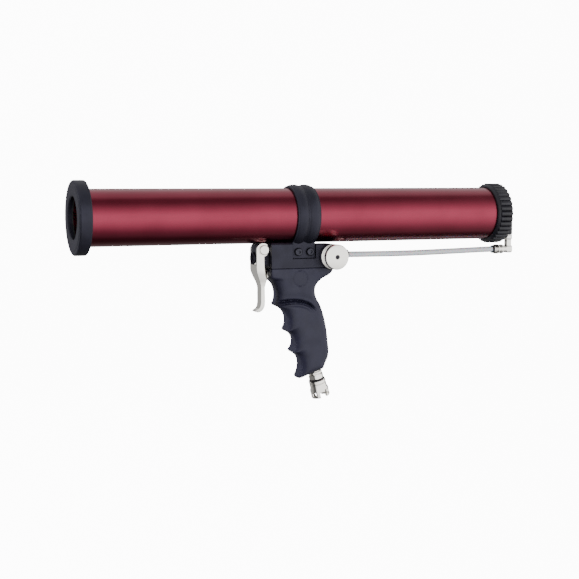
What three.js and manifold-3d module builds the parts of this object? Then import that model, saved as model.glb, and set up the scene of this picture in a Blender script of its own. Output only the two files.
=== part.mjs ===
// Air-powered sealant gun for 600 ml foil packs: barrel with screw ends, air piston, pistol grip with
// trigger valve, pressure regulator, air tube to the rear cap, and a claw coupling for the air line.
//
// Millimetres, +Z up. The barrel runs along X: the nozzle end is at -X and the screw cap at +X.
// The handle hangs below the barrel. The origin is the middle of the hand grip.

import * as THREE from 'three';
import { mergeVertices } from 'three/addons/utils/BufferGeometryUtils.js';
import Module from 'manifold-3d';

const wasm = await Module();
wasm.setup();

// ---------------------------------------------------------------------------------------------
// Driving dimensions
// ---------------------------------------------------------------------------------------------

const clearance = 0.3;             // gap between pieces that sit on or in each other
const slidingClearance = 0.4;      // gap round the piston
const bigRound = 44;               // sides of the large round pieces
const smallRound = 20;             // sides of the small round pieces
const tinyRound = 12;              // sides of pins, screws and bores
const sealRound = 28;              // sides of the O-rings

// X is counted from the front face of the front ring. Z is counted from the barrel axis for the barrel
// and the strap, and from the barrel's underside for everything that hangs below it.

// Barrel
const barrelRadius = 27;
const barrelWall = 1.6;
const visibleBarrel = 426.9;       // bare tube between the front ring and the rear cap
const boreRadius = barrelRadius - barrelWall;

// Front ring
const ringFlange = 8;              // how far the front ring stands out past the barrel
const ringRadius = barrelRadius + ringFlange;
const ringThickness = 11.8;
const ringHoleRadius = 20;
const ringLip = 4;                 // web that holds the nozzle flange
const ringRound = 1.4;
const gasketThickness = 1.2;
const tubeFront = ringLip + gasketThickness + 2 * clearance;

// Rear cap
const capFlange = 4.5;
const capRadius = barrelRadius + capFlange;
const capLength = 17.6;
const capEndWall = 4;
const capRibs = 34;
const capRibDepth = 1.9;
const capCollar = 3;               // smooth collar in front of the ribs
const capSpigot = 9;               // how far the cap's spigot goes into the tube
const capFront = ringThickness + visibleBarrel;
const capRear = capFront + capLength;
const tubeRear = capRear - capEndWall - clearance;

// O-rings and their grooves
const cordRadius = 1;              // radius of the rubber cord of an O-ring
const grooveWidth = 2 * cordRadius + 2 * clearance;
const grooveDepth = 2 * cordRadius + clearance;

// Piston
const pistonRadius = boreRadius - slidingClearance;
const pistonLength = 26;
const pistonFace = 6;
const pistonSkirt = 5;
const pistonRear = tubeRear - capSpigot - 1;
const pistonFront = pistonRear - pistonLength;

// Clamp strap round the barrel
const strapFront = 213.4;
const strapWidth = 24.2;
const strapRear = strapFront + strapWidth;
const strapThickness = 2.2;
const strapRidge = 1.3;            // height of the two ridges on the strap
const strapInner = barrelRadius + clearance;

// Valve block
const blockFront = 191;
const blockRear = 247;
const blockHalfWidth = 15;
const blockTop = 1;
const blockRearTop = -1.6;         // lower top behind the strap, clear of the barrel
const seamHeight = -24.3;          // joint between block and grip
const blockChamfer = 2;
const tabHalfGap = blockHalfWidth - 3.7;    // inner faces of the strap's tabs rest here
const tabBottom = -15;
const clampScrewInset = 5.8;       // from the strap's edges to the screws
const clampScrewX = [strapFront + clampScrewInset, strapRear - clampScrewInset];
const clampScrewZ = -8.4;
const clampScrewRadius = 2.4;
const clampHeadRadius = 4;

// Tongue in front of the block, which the trigger straddles
const tongueFront = 178;
const tongueHalfWidth = 6.9;
const tongueTop = -0.8;

// Trigger
const pivotX = 184.2;
const pivotZ = -5.9;
const pinRadius = 2.5;
const pinHeadRadius = 4.85;
const pinHeadThickness = 3.7;
const eyeRadius = 6.7;
const armInner = tongueHalfWidth + clearance;
const armThickness = 2.4;
const armOuter = armInner + armThickness;
const leverHalfWidth = 5.8;
const webThickness = 3;

// Exhaust port in the front of the tongue
const exhaustZ = -14.3;
const exhaustX = 175.8;
const exhaustHeadRadius = 6.2;
const exhaustStemRadius = 4.6;
const exhaustLength = 10;

// Valve in the grip
const valveZ = -30.3;
const valveBoreRadius = 5.6;
const valveBoreEnd = 228.5;
const bushingFront = 188.9;
const bushingRear = 206;
const bushingFlange = 6.2;
const plungerRadius = 3;
const plungerTip = 182.2;
const plungerCollar = 196.4;
const valveSeatFront = 207;
const valveSeatRear = 211;

// Regulator: its axis runs across the gun, and the knob is on the -Y side
const regulatorX = 254.5;
const regulatorZ = -13.5;
const housingRadius = 13;
const housingNear = -17.5;
const housingFar = 14;
const bonnetRadius = 10;
const bonnetWall = 2.1;
const bonnetNear = -24;
const bonnetFloor = 3;
const diaphragmY = -5;
const diaphragmThickness = 1.2;
const chamberRadius = 7;
const poppetChamberRadius = 5.5;
const knobRadius = 12.5;
const knobFace = -30;
const knobWall = 4;
const knobBack = housingNear - clearance;
const knobHoleRadius = 1.75;
const adjusterRadius = 3;
const adjusterEnd = -9;
const springSeatY = -18.3;
const springSeatThickness = 2;

// Air tube and its fittings
const tubeRadius = 3;
const outletZ = -13;
const outletHex = 6;
const rearLegZ = -11.5;            // height of the elbow's lower leg
const rearLegX = capRear + 13.4;   // place of the elbow's upright leg
const elbowFront = rearLegX - 18.2;
const elbowTop = 3.7;

// Air arm behind the rear cap
const armHubRadius = 8.3;
const armHubRear = capRear + 13.7;
const armPipeRadius = 4.7;
const elbowStem = 2.6;             // spigot of the elbow inside the arm's pipe
const elbowStemLength = 5;
const armBoltRadius = 4;
const armBoltHead = 5;

// Grip
const gripHalfWidth = 15;
const inletX = 243.2;
const inletZ = -129.8;
const inletTilt = THREE.MathUtils.degToRad(15);
const inletThread = 4.9;
const inletThreadLength = 12;
const airwayRadius = 4;

// Claw coupling, along the tilted inlet axis
const collarRadius = 7;
const hexFlat = 6.8;
const hexLength = 4.8;
const couplingRadius = 8.5;
const clawRadius = 9.4;
const couplingLength = 18;
const couplingWall = 2.6;

// Where the grip's middle lies from the front ring's face and the barrel's underside
const gripMiddle = { x: 232, z: -78 };

// ---------------------------------------------------------------------------------------------
// Finishes
// ---------------------------------------------------------------------------------------------

function finish(color, roughness, metalness) {
  return new THREE.MeshStandardMaterial({ color, roughness, metalness });
}

const finishes = {
  redAnodised: () => finish('#8e2f3f', 0.35, 0.8),
  blackMetal: () => finish('#2b2b30', 0.45, 0.4),
  blackPlastic: () => finish('#3b3b44', 0.55, 0),
  innerPlastic: () => finish('#d8d6cf', 0.5, 0),
  chrome: () => finish('#e6e5e2', 0.15, 1),
  darkSteel: () => finish('#5a5a60', 0.35, 1),
  springSteel: () => finish('#9a9aa0', 0.3, 1),
  brass: () => finish('#b59a56', 0.3, 1),
  rubber: () => finish('#1b1b1d', 0.8, 0),
  tube: () => finish('#c4c6ca', 0.35, 0),
};

// ---------------------------------------------------------------------------------------------
// Shape helpers
// ---------------------------------------------------------------------------------------------

// Turns a geometry made along Y so that it lies along the axis asked for.
function alongAxis(geometry, axis) {
  if (axis === 'x') return geometry.rotateZ(-Math.PI / 2);
  if (axis === 'z') return geometry.rotateX(Math.PI / 2);
  return geometry;
}

function signedArea(points) {
  return points.reduce((sum, [x, y], i) => {
    const [nextX, nextY] = points[(i + 1) % points.length];
    return sum + (x * nextY - nextX * y) / 2;
  }, 0);
}

// Spins an outline of [radius, distance along the axis] points round an axis.
function turned(outline, axis, sides = smallRound) {
  const ordered = signedArea(outline) > 0 ? outline : [...outline].reverse();
  const points = ordered.map(([radius, along]) => new THREE.Vector2(radius, along));
  const startsOnAxis = points[0].x === 0 && points.at(-1).x === 0;
  if (!startsOnAxis) points.push(points[0].clone());
  return alongAxis(new THREE.LatheGeometry(points, sides), axis);
}

// Points of an arc in an outline, from one angle to another in degrees.
function arc(centreX, centreY, radius, from, to, steps = 4) {
  return Array.from({ length: steps + 1 }, (_, i) => {
    const angle = THREE.MathUtils.degToRad(from + ((to - from) * i) / steps);
    return [centreX + radius * Math.cos(angle), centreY + radius * Math.sin(angle)];
  });
}

// A full cylinder between two places along an axis, through the point `at`.
function rod(axis, radius, from, to, at = {}, sides = tinyRound) {
  const geometry = turned([[0, from], [radius, from], [radius, to], [0, to]], axis, sides);
  return geometry.translate(at.x ?? 0, at.y ?? 0, at.z ?? 0);
}

// A ring of rectangular section.
function sleeve(axis, inner, outer, from, to, sides = smallRound) {
  return turned([[inner, from], [outer, from], [outer, to], [inner, to]], axis, sides);
}

// A rubber ring of round section.
function oRing(axis, middleRadius, along) {
  return turned(arc(middleRadius, along, cordRadius, 0, 300, 5), axis, sealRound);
}

function box(x, y, z) {
  const geometry = new THREE.BoxGeometry(x[1] - x[0], y[1] - y[0], z[1] - z[0]);
  return geometry.translate((x[0] + x[1]) / 2, (y[0] + y[1]) / 2, (z[0] + z[1]) / 2);
}

function shapeOf(points) {
  return new THREE.Shape(points.map(([x, y]) => new THREE.Vector2(x, y)));
}

// A side view in X and Z, drawn out across the gun.
function acrossY(points, halfWidth) {
  const geometry = new THREE.ExtrudeGeometry(shapeOf(points), { depth: 2 * halfWidth, bevelEnabled: false });
  return geometry.rotateX(Math.PI / 2).translate(0, halfWidth, 0);
}

// A front view in Y and Z, drawn out along the gun.
function alongX(points, from, to) {
  const geometry = new THREE.ExtrudeGeometry(shapeOf(points), { depth: to - from, bevelEnabled: false });
  return geometry.rotateX(Math.PI / 2).rotateZ(Math.PI / 2).translate(from, 0, 0);
}

// The point of a smooth line through [x, z] points.
function smoothLine(points) {
  const places = points.map(([x, z]) => new THREE.Vector3(x, 0, z));
  return new THREE.CatmullRomCurve3(places, false, 'centripetal');
}

class Helix extends THREE.Curve {
  constructor(radius, turns, length) {
    super();
    Object.assign(this, { radius, turns, length });
  }

  getPoint(t, target = new THREE.Vector3()) {
    const angle = t * this.turns * 2 * Math.PI;
    return target.set(this.radius * Math.cos(angle), t * this.length, this.radius * Math.sin(angle));
  }
}

function roundBar(curve, radius, steps, sides) {
  const points = Array.from({ length: sides }, (_, i) => {
    const angle = (2 * Math.PI * i) / sides;
    return [radius * Math.cos(angle), radius * Math.sin(angle)];
  });
  return new THREE.ExtrudeGeometry(shapeOf(points), { steps, extrudePath: curve, bevelEnabled: false });
}

// A coil spring between two places along an axis.
function coilSpring(axis, radius, wireRadius, turns, from, to) {
  const length = to - from - 2 * wireRadius;
  const curve = new Helix(radius, turns, length);
  const geometry = roundBar(curve, wireRadius, turns * 8, 4);
  return alongAxis(geometry.translate(0, from + wireRadius, 0), axis);
}

// ---------------------------------------------------------------------------------------------
// Joining and cutting
// ---------------------------------------------------------------------------------------------

function solid(geometry) {
  const bare = geometry.clone();
  bare.deleteAttribute('normal');
  bare.deleteAttribute('uv');
  const merged = mergeVertices(bare, 1e-4);
  const corners = merged.index.array;
  const triangles = [];
  for (let i = 0; i < corners.length; i += 3) {
    const [a, b, c] = corners.slice(i, i + 3);
    if (a !== b && b !== c && c !== a) triangles.push(a, b, c);
  }
  return new wasm.Manifold(new wasm.Mesh({
    numProp: 3,
    vertProperties: new Float32Array(merged.attributes.position.array),
    triVerts: new Uint32Array(triangles),
  }));
}

function geometryOf(manifold) {
  const mesh = manifold.getMesh();
  const geometry = new THREE.BufferGeometry();
  geometry.setAttribute('position', new THREE.BufferAttribute(mesh.vertProperties, 3));
  geometry.setIndex(new THREE.BufferAttribute(mesh.triVerts, 1));
  geometry.computeVertexNormals();
  return geometry;
}

// Joins the pieces in `add`, then takes away those in `cut`.
function carve(add, cut = []) {
  const whole = add.map(solid).reduce((sum, piece) => sum.add(piece));
  return geometryOf(cut.map(solid).reduce((left, piece) => left.subtract(piece), whole));
}

function common(first, second) {
  return geometryOf(solid(first).intersect(solid(second)));
}

function addPart(group, name, geometry, material) {
  const mesh = new THREE.Mesh(geometry, material());
  mesh.name = name;
  group.add(mesh);
  return mesh;
}

function groupAt(parent, x, y, z) {
  const group = new THREE.Group();
  group.position.set(x, y, z);
  parent.add(group);
  return group;
}

// ---------------------------------------------------------------------------------------------
// Barrel, front ring, rear cap and piston
// ---------------------------------------------------------------------------------------------

function frontRing() {
  const socket = barrelRadius + clearance;
  return turned([
    [ringHoleRadius + 0.6, 0],
    ...arc(ringRadius - ringRound, ringRound, ringRound, -90, 0, 1),
    ...arc(ringRadius - ringRound, ringThickness - ringRound, ringRound, 0, 90, 1),
    [socket, ringThickness],
    [socket, ringLip],
    [ringHoleRadius, ringLip],
    [ringHoleRadius, 0.6],
  ], 'x', bigRound);
}

function nozzleGasket() {
  const front = ringLip + clearance;
  return sleeve('x', ringHoleRadius + 0.5, barrelRadius, front, front + gasketThickness, bigRound);
}

// Outline of the ribbed grip round the rear cap.
function ribOutline() {
  const pointsPerRib = 4;
  const count = capRibs * pointsPerRib;
  return Array.from({ length: count }, (_, i) => {
    const angle = (2 * Math.PI * i) / count;
    const radius = capRadius - capRibDepth * (1 - Math.abs(Math.cos((angle * capRibs) / 2)) ** 0.6);
    return [radius * Math.cos(angle), radius * Math.sin(angle)];
  });
}

function rearCap() {
  const ribStart = capFront + capCollar - 0.4;
  const ribs = new THREE.ExtrudeGeometry(shapeOf(ribOutline()), {
    depth: capRear - ribStart,
    bevelEnabled: false,
  });
  ribs.rotateY(Math.PI / 2).translate(ribStart, 0, 0);
  const rootRadius = capRadius - capRibDepth;
  const collar = turned([
    [0, capFront],
    [rootRadius - 0.9, capFront],
    [rootRadius + 1.1, capFront + capCollar],
    [rootRadius - 0.5, capFront + capCollar + 1],
    [0, capFront + capCollar + 1],
  ], 'x', bigRound);
  const spigotFront = tubeRear - capSpigot;
  const spigotRadius = boreRadius - clearance;
  const floor = capRear - capEndWall;
  const grooveMiddle = spigotFront + capSpigot / 2;
  return carve([ribs, collar], [
    rod('x', barrelRadius + clearance, capFront - 5, spigotFront, {}, bigRound),
    sleeve('x', spigotRadius, barrelRadius + clearance, spigotFront - 1, floor, bigRound),
    rod('x', spigotRadius - 3.6, capFront - 5, floor, {}, bigRound),
    sleeve('x', spigotRadius - grooveDepth, spigotRadius + 1,
      grooveMiddle - grooveWidth / 2, grooveMiddle + grooveWidth / 2, bigRound),
    rod('x', armBoltRadius + clearance, floor - 1, capRear + 1),
  ]);
}

function capSeal() {
  const spigotRadius = boreRadius - clearance;
  const middle = spigotRadius - grooveDepth + clearance + cordRadius;
  return oRing('x', middle, tubeRear - capSpigot / 2);
}

const pistonGrooves = [5.3, pistonLength - 5.7];

function piston() {
  const grooveFloor = pistonRadius - grooveDepth;
  const grooves = pistonGrooves.flatMap((middle) => [
    [pistonRadius, middle - grooveWidth / 2],
    [grooveFloor, middle - grooveWidth / 2],
    [grooveFloor, middle + grooveWidth / 2],
    [pistonRadius, middle + grooveWidth / 2],
  ]);
  const outline = [
    [0, 1.5],
    [pistonRadius - 6, 0],
    [pistonRadius - 1.5, 0],
    [pistonRadius, 1.5],
    ...grooves,
    [pistonRadius, pistonLength],
    [pistonRadius - pistonSkirt, pistonLength],
    [pistonRadius - pistonSkirt, pistonFace],
    [0, pistonFace],
  ];
  return turned(outline, 'x', sealRound).translate(pistonFront, 0, 0);
}

function pistonSeal(groove) {
  const middle = pistonRadius - grooveDepth + clearance + cordRadius;
  return oRing('x', middle, pistonFront + groove);
}

function addBarrel(gun) {
  const barrel = groupAt(gun, 0, 0, barrelRadius);
  addPart(barrel, 'barrel_tube', sleeve('x', boreRadius, barrelRadius, tubeFront, tubeRear, bigRound),
    finishes.redAnodised);
  addPart(barrel, 'front_ring', frontRing(), finishes.blackMetal);
  addPart(barrel, 'nozzle_gasket', nozzleGasket(), finishes.rubber);
  addPart(barrel, 'rear_cap', rearCap(), finishes.blackPlastic);
  addPart(barrel, 'cap_seal', capSeal(), finishes.rubber);
  addPart(barrel, 'piston', piston(), finishes.innerPlastic);
  addPart(barrel, 'piston_seal_front', pistonSeal(pistonGrooves[0]), finishes.rubber);
  addPart(barrel, 'piston_seal_rear', pistonSeal(pistonGrooves[1]), finishes.rubber);
}

// ---------------------------------------------------------------------------------------------
// Strap round the barrel and its screws
// ---------------------------------------------------------------------------------------------

function strapOutline() {
  const low = strapInner + strapThickness - 0.4;
  const ridgeWidth = strapWidth * 0.42;
  const ridge = (start) => Array.from({ length: 4 }, (_, i) => {
    const share = i / 3;
    return [low + (strapRidge + 0.2) * Math.sin(Math.PI * share) ** 0.7, start + ridgeWidth * share];
  });
  return [
    [strapInner, 0],
    [low, 0],
    ...ridge(strapWidth * 0.05),
    ...ridge(strapWidth * 0.53),
    [low, strapWidth],
    [strapInner, strapWidth],
  ];
}

function clampScrewHoles() {
  return clampScrewX.map((x) => rod('y', clampScrewRadius + clearance, -20, 20, { x, z: clampScrewZ }));
}

function clampStrap() {
  const tabOuter = tabHalfGap + clearance + strapThickness;
  const band = turned(strapOutline(), 'x', bigRound).translate(strapFront, 0, barrelRadius);
  const saddleTop = barrelRadius - Math.sqrt(strapInner ** 2 - tabHalfGap ** 2) + 3;
  const tabTop = saddleTop + 0.5;
  const tabs = [-1, 1].map((side) => {
    const y = [side * (tabHalfGap + clearance), side * tabOuter].sort((a, b) => a - b);
    return box([strapFront, strapRear], y, [tabBottom, tabTop]);
  });
  const saddleRoom = box([strapFront - 1, strapRear + 1], [-tabHalfGap - clearance, tabHalfGap + clearance],
    [tabBottom - 1, saddleTop]);
  const barrelRoom = rod('x', strapInner, strapFront - 1, strapRear + 1, { z: barrelRadius }, bigRound);
  return carve([band, ...tabs], [saddleRoom, barrelRoom, ...clampScrewHoles()]);
}

const tabFace = tabHalfGap + clearance + strapThickness;
const clampNutLength = 3.5;

function clampScrew(x) {
  const seat = -tabFace - clearance;
  const headHeight = 2.5;
  const tip = tabFace + 2 * clearance + clampNutLength + 1;
  const screw = turned([
    [0, seat - headHeight],
    ...arc(clampHeadRadius - 1.2, seat - headHeight + 1.2, 1.2, -90, 0, 3),
    [clampHeadRadius, seat],
    [clampScrewRadius, seat],
    [clampScrewRadius, tip],
    [0, tip],
  ], 'y', 16);
  const socket = rod('y', 1.75, seat - headHeight - 1, seat - headHeight + 1.5, {}, 6);
  return carve([screw], [socket]).translate(x, 0, clampScrewZ);
}

function clampNut(x) {
  const inner = tabFace + clearance;
  const nut = rod('y', 4.6, inner, inner + clampNutLength, {}, 6);
  const hole = rod('y', clampScrewRadius + clearance, inner - 1, inner + clampNutLength + 1);
  return carve([nut], [hole]).translate(x, 0, clampScrewZ);
}

function addClamp(gun) {
  addPart(gun, 'clamp_strap', clampStrap(), finishes.blackMetal);
  ['front', 'rear'].forEach((place, i) => {
    addPart(gun, `clamp_screw_${place}`, clampScrew(clampScrewX[i]), finishes.darkSteel);
    addPart(gun, `clamp_nut_${place}`, clampNut(clampScrewX[i]), finishes.darkSteel);
  });
}

// ---------------------------------------------------------------------------------------------
// Valve block and its screws
// ---------------------------------------------------------------------------------------------

const gripScrews = [
  { name: 'grip_screw_left', x: 198.5, y: -9.6, tip: -34 },
  { name: 'grip_screw_right', x: 198.5, y: 9.6, tip: -34 },
  { name: 'grip_screw_rear', x: 239, y: 0, tip: -41 },
];
const gripScrewRadius = 1.9;
const gripScrewHead = 3.4;
const gripScrewSeat = -6;
const gripScrewHeadHeight = 3;

const outletPassage = { x: 224, y: 5, radius: 2 };
const feedZ = regulatorZ - 2.9;
const exhaustPassage = { x: 203, radius: 2 };

function blockBody() {
  const bottom = seamHeight + clearance / 2;
  const section = [
    [-blockHalfWidth, bottom],
    [blockHalfWidth, bottom],
    [blockHalfWidth, blockTop - blockChamfer],
    [blockHalfWidth - blockChamfer, blockTop],
    [blockChamfer - blockHalfWidth, blockTop],
    [-blockHalfWidth, blockTop - blockChamfer],
  ];
  return alongX(section, blockFront, blockRear);
}

function tongue() {
  return acrossY([
    [blockFront + 1, tongueTop],
    [tongueFront, tongueTop],
    [tongueFront, -18.6],
    [pivotX, -19.6],
    [blockFront + 1, -23.4],
  ], tongueHalfWidth);
}

const screwReach = 20;              // cuts for screws run up past the block's top

function screwHole({ x, y, tip }) {
  return rod('z', gripScrewRadius + clearance, tip - clearance, screwReach, { x, y });
}

function screwPocket({ x, y }) {
  return rod('z', gripScrewHead + clearance, gripScrewSeat - clearance, screwReach, { x, y });
}

function regulatorCuts() {
  const at = { x: regulatorX, z: regulatorZ };
  const portX = regulatorX + housingRadius;
  return [
    rod('y', bonnetRadius + clearance, housingNear - 1, diaphragmY, at, smallRound),
    rod('y', chamberRadius, diaphragmY - 1, 0, at, smallRound),
    rod('y', 2.2, -1, 3, at),
    rod('y', poppetChamberRadius, 1.7, 9, at, smallRound),
    rod('x', 2, regulatorX, portX - 3, { y: -2.3, z: outletZ }),
    rod('x', 4.3, portX - 4.6, portX + 1, { z: outletZ }),
    rod('x', outletPassage.radius, outletPassage.x, regulatorX - 3, { y: outletPassage.y, z: feedZ }),
    rod('z', outletPassage.radius, seamHeight - 1, feedZ, outletPassage),
  ];
}

function valveBlock() {
  const tabRecess = (side) => {
    const y = [side * tabHalfGap, side * (blockHalfWidth + 1)].sort((a, b) => a - b);
    return box([strapFront - clearance, strapRear + clearance], y, [tabBottom - clearance, 20]);
  };
  const housing = rod('y', housingRadius, housingNear, housingFar, { x: regulatorX, z: regulatorZ }, 36);
  const at = { z: exhaustZ };
  return carve([blockBody(), tongue(), housing], [
    rod('x', barrelRadius + clearance, 170, 290, { z: barrelRadius }, bigRound),
    box([strapRear + clearance, 290], [-20, 20], [blockRearTop, 20]),
    tabRecess(-1),
    tabRecess(1),
    ...clampScrewHoles(),
    rod('y', pinRadius + clearance, -20, 20, { x: pivotX, z: pivotZ }),
    rod('x', exhaustStemRadius + clearance, tongueFront - 1, exhaustX + exhaustLength + clearance, at, 16),
    rod('x', exhaustPassage.radius, tongueFront, exhaustPassage.x, at),
    rod('z', exhaustPassage.radius, seamHeight - 1, exhaustZ, exhaustPassage),
    ...gripScrews.map(screwHole),
    ...gripScrews.map(screwPocket),
    ...regulatorCuts(),
  ]);
}

function gripScrew({ x, y, tip }) {
  const screw = turned([
    [0, gripScrewSeat + gripScrewHeadHeight],
    [gripScrewHead, gripScrewSeat + gripScrewHeadHeight],
    [gripScrewHead, gripScrewSeat],
    [gripScrewRadius, gripScrewSeat],
    [gripScrewRadius, tip],
    [0, tip],
  ], 'z', tinyRound);
  const socket = rod('z', 1.7, gripScrewSeat + 1, gripScrewSeat + 5, {}, 6);
  return carve([screw], [socket]).translate(x, y, 0);
}

function exhaustPort() {
  const head = tongueFront - clearance - exhaustX;
  return turned([
    [4.9, 0],
    [exhaustHeadRadius - 0.5, 0],
    [exhaustHeadRadius, 0.5],
    [exhaustHeadRadius, head],
    [exhaustStemRadius, head],
    [exhaustStemRadius, exhaustLength],
    [3.2, exhaustLength],
    [3.2, 1.4],
    [4.9, 1.4],
  ], 'x', smallRound).translate(exhaustX, 0, exhaustZ);
}

function addBlock(gun) {
  addPart(gun, 'valve_block', valveBlock(), finishes.blackMetal);
  gripScrews.forEach((screw) => addPart(gun, screw.name, gripScrew(screw), finishes.darkSteel));
  addPart(gun, 'exhaust_port', exhaustPort(), finishes.blackMetal);
  addPart(gun, 'silencer_disc', rod('x', 2.9, exhaustX + 4, exhaustX + 7, { z: exhaustZ }), finishes.brass);
}

// ---------------------------------------------------------------------------------------------
// Grip
// ---------------------------------------------------------------------------------------------

// Front edge over the tips of the finger ridges, and rear edge, from top to bottom.
const gripFrontLine = smoothLine([[191, seamHeight], [191.3, -33], [199.4, -60.6], [210.6, -86],
  [217.4, -107.8], [221.6, -128], [223.6, -135]]);
const gripRearLine = smoothLine([[258, seamHeight], [255.6, -30], [246.5, -36.5], [240.4, -43.5],
  [240.4, -52], [246, -63], [251, -78.5], [253.9, -98], [254.3, -113], [250.4, -121.3],
  [248.6, -125.6]]);

// One ring of points round the grip: straight-sided near the top and rounder below.
function gripSection(share) {
  const front = gripFrontLine.getPoint(share);
  const rear = gripRearLine.getPoint(share);
  const count = 24;
  const squareness = 2.5 + 3.5 * (1 - share) ** 4;
  const halfWidth = gripHalfWidth - 0.15 - 1.2 * Math.sin(Math.PI * share);
  const middle = front.clone().add(rear).multiplyScalar(0.5);
  const half = rear.clone().sub(front).multiplyScalar(0.5);
  return Array.from({ length: count }, (_, i) => {
    const angle = (2 * Math.PI * i) / count;
    const along = Math.sign(Math.cos(angle)) * Math.abs(Math.cos(angle)) ** (2 / squareness);
    const across = Math.sign(Math.sin(angle)) * Math.abs(Math.sin(angle)) ** (2 / squareness);
    return middle.clone().addScaledVector(half, along).setY(halfWidth * across);
  });
}

// Skins a stack of rings and closes both ends.
function skin(rings) {
  const count = rings[0].length;
  const centre = (ring) => ring.reduce((sum, p) => sum.add(p), new THREE.Vector3()).divideScalar(count);
  const points = [...rings.flat(), centre(rings[0]), centre(rings.at(-1))];
  const topCentre = points.length - 2;
  const bottomCentre = points.length - 1;
  const lastRing = (rings.length - 1) * count;
  const faces = [];
  for (let i = 0; i < count; i += 1) {
    const next = (i + 1) % count;
    for (let row = 0; row < lastRing; row += count) {
      faces.push(row + i, row + count + i, row + next);
      faces.push(row + next, row + count + i, row + count + next);
    }
    faces.push(topCentre, i, next);
    faces.push(bottomCentre, lastRing + next, lastRing + i);
  }
  const geometry = new THREE.BufferGeometry();
  geometry.setAttribute('position', new THREE.Float32BufferAttribute(points.flatMap((p) => p.toArray()), 3));
  geometry.setIndex(faces);
  return geometry;
}

function gripBody() {
  const rows = 15;
  const rings = Array.from({ length: rows + 1 }, (_, i) => gripSection(i / rows));
  rings.forEach((ring) => ring.forEach((p) => p.setZ(Math.min(p.z, seamHeight - clearance / 2))));
  return skin(rings);
}

// Finger grooves: a round cut across the grip between two ridges, as deep as `depth`.
const fingerGrooves = [
  { from: [192.4, -34.5], to: [200.6, -58.6], depth: 3.9 },
  { from: [200.4, -62.4], to: [210.7, -85.3], depth: 5.4 },
  { from: [211.2, -87.3], to: [217.4, -106.8], depth: 4.7 },
  { from: [217.9, -108.8], to: [222.4, -132.5], depth: 5.7 },
];

function fingerGroove({ from, to, depth }) {
  const [dx, dz] = [to[0] - from[0], to[1] - from[1]];
  const chord = Math.hypot(dx, dz);
  const radius = (chord ** 2 / 4 + depth ** 2) / (2 * depth);
  const offset = radius - depth;
  const x = (from[0] + to[0]) / 2 + (offset * dz) / chord;
  const z = (from[1] + to[1]) / 2 - (offset * dx) / chord;
  return rod('y', radius, -20, 20, { x, z }, 40);
}

// Places a geometry made along Z on the tilted inlet axis.
function onInletAxis(geometry) {
  return geometry.rotateY(-inletTilt).translate(inletX, 0, inletZ);
}

function grip() {
  const airwayLength = (inletZ - valveZ) / -Math.cos(inletTilt);
  return carve([gripBody()], [
    ...fingerGrooves.map(fingerGroove),
    rod('x', valveBoreRadius, blockFront - 8, valveBoreEnd, { z: valveZ }, 16),
    rod('y', housingRadius + clearance, -20, 20, { x: regulatorX, z: regulatorZ }, 36),
    onInletAxis(rod('z', 12, -30, 0, {}, 16)),
    onInletAxis(rod('z', inletThread + clearance, -1, inletThreadLength + clearance, {}, 16)),
    onInletAxis(rod('z', airwayRadius, 0, airwayLength)),
    rod('z', outletPassage.radius, valveZ, seamHeight + 1, outletPassage),
    rod('z', exhaustPassage.radius, valveZ, seamHeight + 1, exhaustPassage),
    ...gripScrews.map(screwHole),
  ]);
}

// ---------------------------------------------------------------------------------------------
// Trigger and its pin
// ---------------------------------------------------------------------------------------------

// Side view, from the pivot: eye, arm, bend and lever with a hooked tip.
function triggerSide() {
  return [
    ...arc(0, 0, eyeRadius, -80, 180, 12),
    [-eyeRadius, -19.5],
    [-6.1, -22.4],
    [-4.6, -26.5],
    [-2.4, -31.4],
    [-1.1, -35],
    [-0.8, -38],
    [-0.8, -52],
    [-1.4, -55.5],
    [-2.8, -58],
    [-5.9, -59.6],
    [-6, -60.8],
    [-4.2, -61.6],
    [-1.6, -61.2],
    [1.4, -58.8],
    [3.2, -55.3],
    [3.4, -51],
    [3.1, -37],
    [4.6, -30.4],
    [4.1, -28.2],
    [2.6, -24.5],
    [1.3, -17],
  ];
}

// The room between the arms, behind the web.
function triggerRoom() {
  const web = webThickness;
  return [
    [-12, -14.8],
    [-12, 12],
    [12, 12],
    [12, -33.5],
    [-2.4 + web, -33.5],
    [-4.6 + web, -27.2],
    [-6.2 + web, -22.6],
    [-eyeRadius + web, -19.2],
    [-eyeRadius + web, -14.8],
  ];
}

function widths(list) {
  return [...list.map(([half, z]) => [half, z]), ...[...list].reverse().map(([half, z]) => [-half, z])];
}

function trigger() {
  const outer = alongX(widths([[leverHalfWidth - 1.2, -63], [leverHalfWidth, -55], [leverHalfWidth, -37],
    [armOuter, -21], [armOuter, 12]]), -15, 15);
  const wall = 1.5;
  const inner = alongX(widths([[leverHalfWidth - wall, -34.5], [leverHalfWidth - wall + 0.7, -33],
    [armInner, -22], [armInner, 13]]), -15, 15);
  const body = common(acrossY(triggerSide(), armOuter + 1), outer);
  const room = common(acrossY(triggerRoom(), armOuter + 1), inner);
  return carve([body], [room, rod('y', pinRadius + clearance, -20, 20)]);
}

const clipThickness = 0.7;
const clipY = armOuter + 2 * clearance;

function triggerPin() {
  const seat = -armOuter - clearance;
  const groove = clipThickness + 2 * clearance;
  return turned([
    [0, seat - pinHeadThickness],
    [pinHeadRadius - 0.8, seat - pinHeadThickness],
    [pinHeadRadius, seat - pinHeadThickness + 0.8],
    [pinHeadRadius, seat],
    [pinRadius, seat],
    [pinRadius, clipY - clearance],
    [pinRadius - 0.6, clipY - clearance],
    [pinRadius - 0.6, clipY - clearance + groove],
    [pinRadius, clipY - clearance + groove],
    [pinRadius, clipY - clearance + groove + 1],
    [0, clipY - clearance + groove + 1],
  ], 'y', smallRound);
}

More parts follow.
